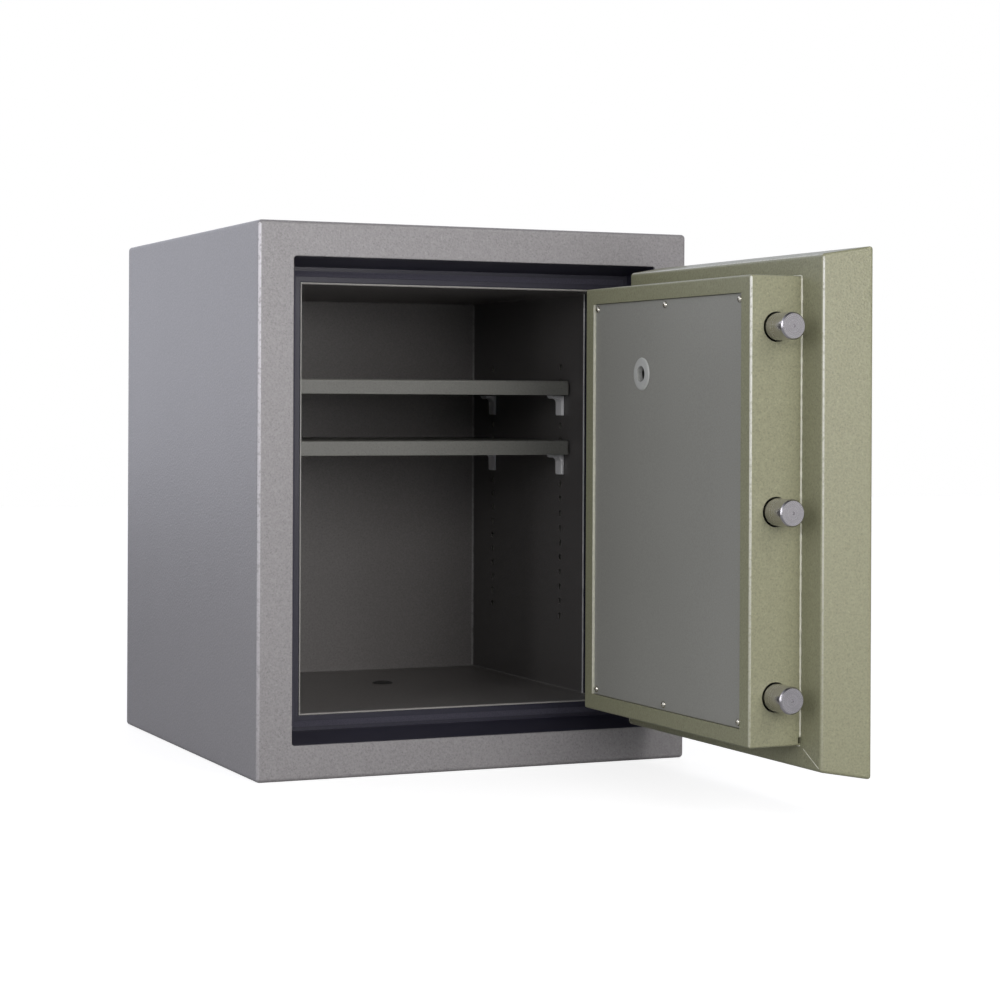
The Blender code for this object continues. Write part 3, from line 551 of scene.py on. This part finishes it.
def weld_line(start_at, end_at, outward, wide=0.0016, proud=0.0005, step=0.0045):
    """A dressed weld: a low rounded bead whose height and width waver along it."""
    run = end_at - start_at
    count = max(2, round(run.length / step))
    along, out = run.normalized(), outward.normalized()
    side = along.cross(out).normalized()
    bm = bmesh.new()
    rings = []
    for i in range(count + 1):
        waver = 1 + 0.18 * math.sin(i * 2.1) + 0.12 * math.sin(i * 5.3 + 1)
        if i in (0, count):
            waver *= 0.4
        at = start_at + run * (i / count)
        ring = []
        for k in range(8):
            turn = math.tau * k / 8
            off = side * (math.cos(turn) * wide * waver) + out * (math.sin(turn) * proud * waver)
            ring.append(bm.verts.new(at + off))
        rings.append(ring)
    for a, b in zip(rings, rings[1:]):
        for k in range(8):
            bm.faces.new((a[k], a[(k + 1) % 8], b[(k + 1) % 8], b[k]))
    bm.faces.new(rings[0])
    bm.faces.new(rings[-1])
    bmesh.ops.recalc_face_normals(bm, faces=bm.faces)
    return bm


def ring_block(low, high, hole_low, hole_high, radius=0.0, segments=3):
    """A flat frame round a rectangular hole, facing y, its edges rounded."""
    deep = Vector((0, 0.05, 0))
    made = carve(block(low, high), block(hole_low - deep, hole_high + deep))
    if radius:
        bmesh.ops.bevel(made, geom=made.edges, offset=radius, segments=segments, profile=0.5, affect="EDGES")
    return made


def make_jamb():
    keep(NAVY, "door_jamb", "bolt_pocket", "hinge_pocket")
    keep(SEAL, "heat_seal")
    keep(FILL, "insulation_fill", "door_insulation")
    low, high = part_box("locking_ledge")
    hole_low, hole_high = part_of(
        "locking_ledge", lambda p: low.x + 0.008 < p.x < high.x - 0.008 and low.z + 0.008 < p.z < high.z - 0.008
    )
    frame_round = ring_block(low, high, hole_low, hole_high, 0.0008)
    piece("ledge", frame_round, "cabinet", NAVY, "black_jamb_paint", "locking_ledge")
    lip = Vector((0.0013, 0, 0.0013))
    front = low.y - 0.00025
    hole_low.y = hole_high.y = front
    edge = ring_block(hole_low, hole_high + Vector((0, 0.002, 0)), hole_low + lip, hole_high - lip, 0.0003, 2)
    piece("liner_front_edge", edge, "cabinet", EDGE, "liner_paint")


def make_liner():
    low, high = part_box("inner_liner")
    rear_low, rear_high = part_of("inner_liner", lambda p: p.y > high.y - 0.0001)
    walls_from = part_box("bolt_pocket")[1].y - SHEET
    floor, ceiling = low.z + SHEET, high.z - SHEET
    back = Vector((rear_low.x, low.y, low.z)), rear_high
    front = low, Vector((high.x, walls_from - GAP, high.z))
    shell = carve(block(*back), block(*front), operation="UNION")
    room = block(
        Vector((rear_low.x + SHEET, low.y - 0.05, floor)), Vector((rear_high.x - SHEET, high.y - SHEET, ceiling)),
        0.0022, 4, lambda p: p.y > low.y,
    )
    mouth = block(Vector((low.x - 0.02, low.y - 0.05, floor)), Vector((high.x + 0.02, walls_from, ceiling)))
    plug = middle(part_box("anchor_plug"))
    hole = moved(rod(ANCHOR_HOLE, 0.03, 40), Matrix.Translation((plug.x, plug.y, floor)))
    columns = sorted({round(peg_place(n).y, 5) for n in frame["nodes"] if "_clip_" in n})
    wall_faces = (rear_low.x + SHEET, rear_high.x - SHEET)
    wide = HOLE_RADIUS + HOLE_UNDERCUT
    profile = [(0, 0.02), (wide, 0.02), (wide, HOLE_RIM), (HOLE_RADIUS, HOLE_RIM), (HOLE_RADIUS, -0.01), (0, -0.01)]
    holes = [
        moved(lathe(profile, 20), facing(way, Vector((face, depth, FIRST_HOLE + row * HOLE_PITCH))))
        for way, face in ((-ACROSS, wall_faces[0]), (ACROSS, wall_faces[1]))
        for depth in columns
        for row in range(HOLE_ROWS)
    ]
    shell = carve(shell, room, mouth, hole, together(*holes))
    # painted highlight down the liner's back-right inner corner
    paint_edge_highlight(shell, (-1, -1, 0), 0.9, lambda p: p.x > wall_faces[1] - 0.004 and p.y > high.y - SHEET - 0.004, 0.5)
    piece("liner_shell", shell, "cabinet", LINER, "liner_paint", "inner_liner", angle=50)
    # strips on the side walls' front edges in the pale edge colour, partly bare sheet edge and partly painted highlight
    strips = [
        block(Vector((x, walls_from - 0.0004, floor)), Vector((x + SHEET, walls_from + 0.0006, ceiling)), 0.0003, 2)
        for x in (rear_low.x, wall_faces[1])
    ]
    piece("wall_front_edges", together(*strips), "cabinet", BARE_EDGE_AND_HIGHLIGHT, "liner_paint")

    low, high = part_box("anchor_plug")
    tall = high.z - floor
    profile = [
        (0, tall), (0.0062, tall), (0.0098, tall * 0.55), (0.0115, 0.0003), (0.0072, 0.0003), (0.0072, -0.010),
        (0, -0.010),
    ]
    at = Matrix.Translation((plug.x, plug.y, floor))
    piece("floor_plug", moved(lathe(eased(profile, 0.0012), 48), at), "cabinet", RUBBER, "black_plastic", "anchor_plug")


def make_shelf(level):
    low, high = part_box(f"{level}_shelf")
    tray = block(low, high, 0.0022, 5, lambda p: p.z > low.z + 0.001)
    inset = Vector((SHEET, SHEET, 0))
    under = block(
        low + inset - Vector((0, 0, 0.02)), high - inset - Vector((0, 0, SHEET)), 0.0012, 3, lambda p: p.z > low.z
    )
    tray = carve(tray, under)
    piece(f"{level}_tray", tray, "cabinet", SHELF, "hammered_grey_paint", f"{level}_shelf")


def peg_place(node):
    """The middle of the tip of a clip's peg, its outermost points."""
    low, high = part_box(node)
    tip = high.x if middle((low, high)).x > 0 else low.x
    return middle(part_of(node, lambda p: abs(p.x - tip) < 0.0002))


def make_clips():
    reach, tall, leg, ledge, fillet, peg, peg_out = 0.0135, 0.021, 0.0033, 0.0032, 0.0045, 0.0026, 0.0045
    for node in sorted(n for n in frame["nodes"] if "_clip_" in n):
        low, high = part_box(node)
        right = middle((low, high)).x > 0
        away = -1 if right else 1
        wall = (high.x - peg_out) if right else (low.x + peg_out)
        outline = [
            (0, high.z), (reach, high.z), (reach - 0.0008, high.z - ledge * 0.7), (reach - 0.0025, high.z - ledge),
        ]
        for k in range(7):
            turn = math.pi / 2 * k / 6
            outline.append((leg + fillet * (1 - math.sin(turn)), high.z - ledge - fillet * (1 - math.cos(turn))))
        outline += [(leg - 0.0002, high.z - tall + 0.0010), (leg - 0.0010, high.z - tall), (0, high.z - tall)]
        outline = [(wall + away * x, z) for x, z in outline]
        body = prism(outline, low.y, high.y)
        bmesh.ops.bevel(
            body, geom=[e for e in body.edges if abs(e.verts[0].co.y - e.verts[1].co.y) < 1e-6],
            offset=0.0007, segments=3, profile=0.5, affect="EDGES",
        )
        peg_at = peg_place(node)
        profile = eased([(0, peg_out), (peg, peg_out), (peg, -0.0020), (0, -0.0020)], 0.0005)
        pin = moved(lathe(profile, 24), facing(-away * ACROSS, Vector((wall, peg_at.y, peg_at.z))))
        piece(node.replace("_clip_", "_bracket_"), together(body, pin), "cabinet", CLIP, "light_grey_plastic", node)


def make_hinges():
    for level in ("lower", "upper"):
        for owner in ("cabinet", "door"):
            node = f"{level}_{owner}_knuckle"
            low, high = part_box(node) if owner == "cabinet" else shut(node)
            tall = high.z - low.z
            barrel = lathe(eased([(BORE, 0), (BARREL, 0), (BARREL, tall), (BORE, tall)], 0.0006), 72, closed=True)
            moved(barrel, Matrix.Translation((hinge_axis.x, hinge_axis.y, low.z)))
            if owner == "cabinet":
                x = hinge_axis.x + BARREL * 0.75, high.x
                finish, slot = GREY, "hammered_grey_paint"
            else:
                x = low.x, hinge_axis.x - BARREL * 0.75
                finish, slot = OLIVE, "hammered_olive_paint"
            leaf = block(
                Vector((x[0], high.y - LEAF, low.z + 0.001)), Vector((x[1], high.y, high.z - 0.001)), 0.0009, 3
            )
            knuckle = carve(barrel, leaf, operation="UNION")
            piece(f"{level}_{owner}_barrel", knuckle, owner, finish, slot, node, angle=50)
        low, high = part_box(f"{level}_hinge_pin")
        half, crown, head, pin = (high.z - low.z) / 2, 0.0045, 0.0062, 0.004
        end = half - crown
        half_profile = [
            (head * 0.35, half - 0.0002), (head * 0.75, half - 0.0010), (head * 0.96, half - 0.0026), (head, end),
            (pin, end),
        ]
        profile = [(0, half), *half_profile, *[(r, -h) for r, h in reversed(half_profile)], (0, -half)]
        turned = moved(lathe(profile, 48), Matrix.Translation(middle((low, high))))
        piece(f"{level}_pin", turned, "cabinet", STEEL, "turned_steel", f"{level}_hinge_pin", angle=50)


# ---------------------------------------------------------------- door

def make_slab():
    outer = shut("door_shell", lambda p: p.y < slab_middle)
    low_y, high_y = outer[0].y, shut("door_shell")[1].y
    front = Vector((outer[0].x, low_y, outer[0].z)), Vector((outer[1].x, low_y, outer[1].z))
    rear = shut("door_shell", lambda p: p.y > high_y - 0.0001)
    shell = wedge(front, rear, 0.0030, 6)
    wall, skin = 0.0020, 0.0025
    depth = high_y - low_y

    def at(y, inset):
        share = (y - low_y) / depth
        low, high = (front[i].lerp(rear[i], share) for i in (0, 1))
        grow = Vector((inset, 0, inset))
        return Vector((low.x, y, low.z)) + grow, Vector((high.x, y, high.z)) - grow

    room = wedge(at(low_y + skin, wall), at(high_y - wall, wall))
    holes = [
        moved(rod(SPINDLE_HOLE, 0.08, 32), facing(INTO, middle(shut(node))))
        for node in ("handle_spindle", "dial_spindle")
    ]
    shell = carve(shell, room, *holes)
    # painted highlight along the slab's inner free edge, fading towards the foot, and along its top edge
    paint_edge_highlight(shell, (-1, 1, 0), 0.985, lambda p: p.x < rear[0].x + 0.006 and p.y > slab_middle, 0.9, 0.05)
    paint_edge_highlight(shell, (0, 1, 1), 0.985, lambda p: p.z > rear[1].z - 0.006 and p.y > slab_middle, 0.7)
    piece("slab_shell", shell, "door", OLIVE, "hammered_olive_paint", "door_shell", angle=50)

    box_low, box_high = shut("boltwork_box")
    lines = []
    for x, box_x in ((rear[0].x + 0.0022, box_low.x), (rear[1].x - 0.0022, box_high.x)):
        corner, base = Vector((x, high_y, rear[0].z + 0.0022)), Vector((box_x, high_y, box_low.z))
        lines.append(weld_line(base.lerp(corner, 0.12), base.lerp(corner, 0.98), INTO, 0.0004, 0.0002, 0.002))
    # the mitre welds take the pale bead colour, a painted highlight
    piece("slab_mitres", together(*lines), "door", BEAD_HIGHLIGHT, "hammered_olive_paint")


def make_box():
    low, high = shut("boltwork_box")
    cover_low, cover_high = shut("cover_panel")
    flange = 0.014
    shell = block(low, high, 0.0020, 5, lambda p: p.y > low.y + 0.001)
    inset = Vector((SHEET, 0, SHEET))
    room = block(low + inset - Vector((0, 0.02, 0)), high - inset - Vector((0, SHEET, 0)))
    shell = carve(shell, room)
    flange_back = cover_low.y - GAP - SHEET
    edge = Vector((GAP + SHEET, 0, GAP + SHEET))
    rim_low = Vector((cover_low.x, flange_back, cover_low.z)) - edge
    rim_high = Vector((cover_high.x, high.y - SHEET / 2, cover_high.z)) + edge
    shell = carve(shell, block(rim_low, rim_high), operation="UNION")
    gap = Vector((GAP, 0, GAP))
    past_face = Vector((cover_high.x, high.y + 0.02, cover_high.z))
    recess = block(Vector((cover_low.x, flange_back + SHEET, cover_low.z)) - gap, past_face + gap)
    lip = Vector((flange, 0, flange))
    window = block(Vector((cover_low.x, low.y, cover_low.z)) + lip, past_face - lip)
    holes = []
    for node in BOLTS:
        at = middle(shut(node))
        holes.append(moved(rod(BOLT_HOLE, 0.01, 56), facing(ACROSS, Vector((low.x, at.y, at.z)))))
    for number in SCREWS:
        at = middle(shut(f"cover_screw_{number}"))
        holes.append(moved(rod(SCREW_HOLE, 0.01, 20), facing(INTO, at)))
    slit_at = Vector((low.x, low.y, low.z + 0.0046))
    slit = block(slit_at + Vector((-0.003, 0.0002, -0.0026)), slit_at + Vector((0.003, 0.0024, 0.0026)))
    shell = carve(shell, recess, window, together(*holes), slit)
    # painted highlight along the box's free vertical edge, fading towards the foot
    paint_edge_highlight(shell, (-1, 1, 0), 0.88, lambda p: p.x < low.x + 0.003 and p.y > high.y - 0.003, 0.85, 0.2)
    piece("box_shell", shell, "door", OLIVE, "hammered_olive_paint", "boltwork_box", angle=50)
    # a thin strip on the hinge-side wall of the cover's recess, pale cream as a painted highlight on the lip
    edge_x = cover_high.x + GAP
    lip_highlight_strip = block(
        Vector((edge_x - 0.0001, flange_back + SHEET, cover_low.z)),
        Vector((edge_x + 0.0006, high.y + 0.0001, cover_high.z)), 0.0003, 3,
    )
    piece("cover_lip_highlight", lip_highlight_strip, "door", BEAD_HIGHLIGHT, "hammered_olive_paint")

    base, bead = low.y + 0.0004, 0.0009
    runs = [
        ((low.x, slit_at.z + 0.0030), (low.x, high.z), -ACROSS), ((high.x, low.z), (high.x, high.z), ACROSS),
        ((low.x, low.z), (high.x, low.z), -UP), ((low.x, high.z), (high.x, high.z), UP),
    ]
    beads = [
        weld_line(Vector((a[0], base, a[1])), Vector((b[0], base, b[1])), out, bead, bead, 0.003) for a, b, out in runs
    ]
    # the welds round the box's base take the pale bead colour, a painted highlight
    piece("box_base_bead", together(*beads), "door", BEAD_HIGHLIGHT, "hammered_olive_paint")


def make_cover():
    low, high = shut("cover_panel")
    plate = block(low, high, 0.0004, 2)
    key = middle(shut("change_key_grommet"))
    screws = [middle(shut(f"cover_screw_{number}")) for number in SCREWS]
    cutters = [moved(rod(KEY_HOLE, 0.01, 48), facing(INTO, key))]
    for at in screws:
        cutters.append(moved(rod(SCREW_HOLE, 0.01, 20), facing(INTO, at)))
    piece("cover_plate", carve(plate, together(*cutters)), "door", PANEL, "grey_panel_paint", "cover_panel")

    seat = high.y + GAP
    for number, at in enumerate(screws, 1):
        head = lathe(
            [(0, 0.0019), (0.0010, 0.00185), (0.0020, 0.0015), (0.0028, 0.0009), (0.0032, 0.0002), (0.0032, 0),
             (0.0018, 0), (0.0018, -0.005), (0, -0.005)], 40,
        )
        half, reach = 0.0003, 0.0016
        arms = [block((-x, -y, 0.0010), (x, y, 0.01)) for x, y in ((reach, half), (half, reach))]
        turn = Matrix.Rotation(number * 1.9, 4, "Z")
        head = moved(carve(head, *arms), facing(INTO, Vector((at.x, seat, at.z))) @ turn)
        piece(f"cover_screw_head_{number}", head, "door", SCREW, "turned_steel", f"cover_screw_{number}", angle=50)

    bore, flange, neck = 0.0074, 0.0154, 0.0082
    profile = [
        (bore, 0.0014), (flange - 0.0012, 0.0012), (flange, 0.0003), (flange, 0), (neck, 0), (neck, -0.004),
        (bore, -0.004),
    ]
    grommet = lathe(eased(profile, 0.0006, 3), 72, closed=True)
    moved(grommet, facing(INTO, Vector((key.x, seat, key.z))))
    piece("key_grommet", grommet, "door", GROMMET, "light_grey_plastic", "change_key_grommet", angle=50)


def make_fittings():
    keep(BAR, "hard_plate", "bolt_guide", "bolt_carrier")
    keep(ZINC, "lock_case", "lock_cover", "handle_cam")
    keep(BRASS, "lock_wheel_1", "lock_wheel_2", "lock_wheel_3", "drive_cam", "lock_bolt")
    keep(STEEL, "handle_spindle", "dial_spindle")
    low, high = shut("hinge_side_bar")
    piece("fixed_bar", block(low, high, 0.0012, 4), "door", BAR, "plain_steel", "hinge_side_bar")


def make_bolts():
    long, radius, chamfer = 0.0684, 0.0120, 0.0013
    for node in BOLTS:
        low, high = shut(node)
        at = middle((low, high))
        profile = [
            (0, long - 0.0009), (0.0011, long - 0.0009), (0.0015, long), (0.0060, long), (radius - chamfer, long),
            (radius - 0.0002, long - chamfer * 0.9), (radius, long - chamfer - 0.0004), (radius, long * 0.5),
            (radius, 0), (0.0045, 0), (0.0045, -0.009), (0, -0.009),
        ]
        bolt = moved(lathe(profile, 96), facing(-ACROSS, Vector((low.x + long, at.y, at.z))))
        piece(node.replace("_bolt", "_locking_bolt"), bolt, "boltwork", BOLT, "turned_steel", node, angle=30)


# ---------------------------------------------------------------- handle and dial

def make_handle():
    low, high = shut("handle_escutcheon")
    at = Vector((middle((low, high)).x, high.y, middle((low, high)).z))
    rose = [
        (0.0068, 0.0060), (0.0150, 0.0060), (0.0158, 0.0052), (0.0205, 0.0052), (0.0228, 0.0046), (0.0252, 0.0026),
        (0.0260, 0.0008), (0.0260, 0), (0.0068, 0),
    ]
    piece("handle_rose", moved(lathe(eased(rose, 0.0008), 96, closed=True), facing(-INTO, at)),
          "door", CHROME, "chrome", "handle_escutcheon", angle=50)

    hub = [
        (0, 0.0400), (0.0060, 0.0398), (0.0100, 0.0388), (0.0128, 0.0365), (0.0138, 0.0330), (0.0136, 0.0250),
        (0.0122, 0.0140), (0.0128, 0.0075), (0.0126, 0.0065), (0, 0.0065),
    ]
    hub_at = Vector((at.x, shut("door_shell")[0].y, at.z))
    piece("lever_hub", moved(lathe(eased(hub, 0.0012, 3), 96), facing(-INTO, hub_at)),
          "handle", CHROME, "chrome", "handle_lever", angle=60)

    # the grip's cross sections: how far out, half height, half depth and drop
    stations = [
        (0.002, 0.0080, 0.0080, 0.0), (0.014, 0.0072, 0.0066, 0.0), (0.026, 0.0068, 0.0060, 0.0002),
        (0.044, 0.0078, 0.0064, 0.0008), (0.062, 0.0088, 0.0070, 0.0014), (0.076, 0.0089, 0.0068, 0.0014),
        (0.083, 0.0078, 0.0060, 0.0009), (0.0868, 0.0052, 0.0042, 0.0004), (0.0880, 0.0018, 0.0015, 0.0001),
    ]
    sides, off_the_door = 40, 0.030
    grip = bmesh.new()
    rings = []
    for out, tall, deep, drop in stations:
        ring = []
        for k in range(sides):
            turn = math.tau * k / sides
            x, z = math.cos(turn), math.sin(turn)
            ring.append(grip.verts.new((-out, x * deep - off_the_door, z * tall - drop)))
        rings.append(ring)
    for a, b in zip(rings, rings[1:]):
        for k in range(sides):
            grip.faces.new((a[k], a[(k + 1) % sides], b[(k + 1) % sides], b[k]))
    grip.faces.new(rings[0])
    grip.faces.new(rings[-1])
    bmesh.ops.recalc_face_normals(grip, faces=grip.faces)
    moved(grip, Matrix.Translation(hub_at))
    lever = piece("lever_grip", grip, "handle", CHROME, "chrome", angle=60)
    fine = lever.modifiers.new("fine", "SUBSURF")
    fine.levels = fine.render_levels = 2


def make_dial():
    low, high = shut("dial_ring")
    face = shut("door_shell")[0].y
    at = Vector((middle((low, high)).x, face, middle((low, high)).z))
    out = facing(-INTO, at)
    ring = [
        (0.0375, 0.0115), (0.0430, 0.0115), (0.0448, 0.0105), (0.0460, 0.0085), (0.0460, GAP), (0.0080, GAP),
        (0.0080, 0.0035), (0.0375, 0.0035),
    ]
    piece("dial_surround", moved(lathe(eased(ring, 0.0007), 128, closed=True), out),
          "door", BLACK, "black_plastic", "dial_ring", angle=50)

    def knurl(radius, height, angle):
        if 0.0185 < height < 0.0345 and radius > 0.0165:
            return -0.00075 * (0.5 + 0.5 * math.cos(angle * 44)) ** 0.6
        return 0.0

    inner, outer = (0.0235, 0.0160), (0.0362, 0.0121)
    dial = [
        (0, 0.0352), (0.0120, 0.0352), (0.0135, 0.0360), (0.0168, 0.0360), (0.0186, 0.0345), (0.0192, 0.0335),
        (0.0195, 0.0200), (0.0195, 0.0186), (0.0196, 0.0182), (0.0212, 0.0172), inner, outer, (0.0365, 0.0116),
        (0.0365, 0.0042), (0, 0.0042),
    ]
    turned = moved(lathe(dial, 352, ripple=knurl), out)
    piece("dial_body", turned, "dial", BLACK, "black_plastic", "dial_knob", angle=35)

    slope = math.atan2(inner[1] - outer[1], outer[0] - inner[0])

    def on_cone(radius, angle, lift):
        """A place on the dial's sloping face: x round the dial, y outwards, z off the face."""
        height = inner[1] - (radius - inner[0]) * math.tan(slope) + lift
        place = Matrix.Translation((0, radius, height)) @ Matrix.Rotation(-slope, 4, "X")
        return out @ Matrix.Rotation(-angle, 4, "Z") @ place

    marks = []
    for i in range(100):
        long = 0.0034 if i % 10 == 0 else 0.0026 if i % 5 == 0 else 0.0018
        wide = 0.00030 if i % 5 == 0 else 0.00018
        tick = block((-wide, 0, -0.0001), (wide, long, 0.00012))
        marks.append(moved(tick, on_cone(0.0358 - long, math.tau * i / 100, 0)))
    for i in range(10):
        text = bpy.data.curves.new("digits", "FONT")
        text.body, text.size, text.extrude = str(i * 10), 0.0048, 0.0001
        text.align_x, text.align_y, text.resolution_u = "CENTER", "CENTER", 3
        holder = bpy.data.objects.new("digits", text)
        bpy.context.scene.collection.objects.link(holder)
        mesh = bpy.data.meshes.new_from_object(holder.evaluated_get(bpy.context.evaluated_depsgraph_get()))
        digits = bmesh.new()
        digits.from_mesh(mesh)
        bmesh.ops.remove_doubles(digits, verts=digits.verts, dist=1e-6)
        marks.append(moved(digits, on_cone(0.0284, math.tau * i / 10, 0.00005)))
        bpy.data.objects.remove(holder)
        bpy.data.curves.remove(text)
        bpy.data.meshes.remove(mesh)
    piece("dial_marks", together(*marks), "dial", MARK, "black_plastic", angle=30)

    index = prism([(-0.0011, 0.0), (0.0011, 0.0), (0.0, -0.0032)], -0.00012, 0.0001)
    on_ring = Matrix.Translation(at + Vector((0, -0.0115, 0.0428)))
    piece("dial_index", moved(index, on_ring), "door", MARK, "black_plastic", angle=30)


# ---------------------------------------------------------------- stage

def make_stage():
    bm = bmesh.new()
    bmesh.ops.create_grid(bm, x_segments=1, y_segments=1, size=6)
    floor = as_object("floor", bm)
    made, tree, shader = start("floor_paper", 0.7, specular=0.2)
    spot = where(tree)
    tone = blend(tree, noise(tree, spot, 3, 4), (0.44, 0.44, 0.44), (0.46, 0.46, 0.46))
    tree.links.new(tone, shader.inputs["Base Color"])
    bump(tree, shader, noise(tree, spot, 900, 2), 0.00003, 0.3)
    seen = add(tree, "ShaderNodeLightPath").outputs["Is Camera Ray"]
    lit = add(tree, "ShaderNodeEmission", {"Color": (1, 1, 1, 1), "Strength": times(tree, seen, 0.80)})
    both = add(tree, "ShaderNodeAddShader", {0: shader.outputs[0], 1: lit.outputs[0]})
    tree.links.new(both.outputs[0], tree.nodes["Material Output"].inputs["Surface"])
    floor.data.materials.append(made)

    world = bpy.data.worlds.new("studio")
    bpy.context.scene.world = world
    world.use_nodes = True
    tree = world.node_tree
    tree.nodes.clear()
    way = add(tree, "ShaderNodeTexCoord").outputs["Generated"]
    total = None
    for towards, colour in SKY:
        facing_it = add(tree, "ShaderNodeVectorMath", {0: way, 1: towards}, operation="DOT_PRODUCT").outputs["Value"]
        ahead = add(tree, "ShaderNodeMath", {0: facing_it, 1: 0.0}, operation="MAXIMUM").outputs[0]
        scaled = {0: colour, 3: times(tree, ahead, ahead)}
        share = add(tree, "ShaderNodeVectorMath", scaled, operation="SCALE").outputs[0]
        total = add(tree, "ShaderNodeVectorMath", {0: total, 1: share}).outputs[0] if total else share
    light = add(tree, "ShaderNodeBackground", {"Color": total, "Strength": 1.0})
    white = add(tree, "ShaderNodeBackground", {"Color": (1, 1, 1, 1), "Strength": 1.0})
    seen = add(tree, "ShaderNodeLightPath").outputs["Is Camera Ray"]
    mixed = add(tree, "ShaderNodeMixShader", {0: seen, 1: light.outputs[0], 2: white.outputs[0]})
    add(tree, "ShaderNodeOutputWorld", {"Surface": mixed.outputs[0]})

    for name, at, aim, size, power, colour in LIGHTS:
        lamp = bpy.data.lights.new(name, "AREA")
        lamp.shape, lamp.size, lamp.size_y = "RECTANGLE", *size
        lamp.energy, lamp.color = power, colour
        holder = bpy.data.objects.new(name, lamp)
        holder.location = at
        holder.rotation_euler = (Vector(aim) - Vector(at)).to_track_quat("-Z", "Y").to_euler()
        bpy.context.scene.collection.objects.link(holder)

    camera = bpy.data.objects.new("camera", bpy.data.cameras.new("camera"))
    yaw, roll = math.radians(23.8965), 0.0045
    camera.matrix_world = (
        Matrix.Translation((-0.94045, -2.40059, 0.35346))
        @ Matrix.Rotation(-yaw, 4, "Z")
        @ Matrix.Rotation(math.radians(90), 4, "X")
        @ Matrix.Rotation(roll, 4, "Z")
    )
    camera.data.lens, camera.data.sensor_width = 87.28, 36
    camera.data.shift_y = -0.0919
    bpy.context.scene.collection.objects.link(camera)
    bpy.context.scene.camera = camera
    bpy.context.scene.view_settings.view_transform = "Standard"


# the studio's soft surroundings: a direction and the colour of the light from there
SKY = [
    ((0, 1, 0), (1.14, 1.17, 1.32)),
    ((-1, 0, 0), (1.05, 1.06, 1.14)),
    ((1, 0, 0), (0.45, 0.46, 0.48)),
    ((0, 0, 1), (0.06, 0.06, 0.06)),
]
# the lamps: name, place, aim, size, power and colour
LIGHTS = [
    ("high_box", (0.6, -2.0, 1.6), (0, -0.1, 0.25), (1.0, 1.0), 10.0, (1.0, 0.98, 0.985)),
    ("front_box", (0.15, -2.6, 0.9), (0, -0.1, 0.25), (1.0, 1.0), 10.2, (1.0, 0.98, 0.985)),
    ("low_box", (0.1, -2.4, 0.35), (0, -0.1, 0.25), (0.8, 0.6), 6.8, (1.0, 0.98, 0.985)),
    ("left_box", (-0.85, -2.3, 0.9), (0, -0.1, 0.25), (0.6, 0.6), 6.6, (1.0, 0.98, 0.985)),
    ("left_strip", (-1.9, -1.3, 0.7), (0, -0.3, 0.25), (0.12, 1.8), 4.0, (1.0, 0.99, 1.0)),
    ("right_panel", (1.0, -2.5, 0.45), (0.15, -0.6, 0.27), (1.1, 1.1), 1.8, (1.0, 0.98, 0.985)),
]

slab_middle = middle(shut("door_shell")).y
make_casing()
make_jamb()
make_liner()
for level in ("upper", "lower"):
    make_shelf(level)
make_clips()
make_hinges()
make_slab()
make_box()
make_cover()
make_fittings()
make_bolts()
make_handle()
make_dial()
make_stage()
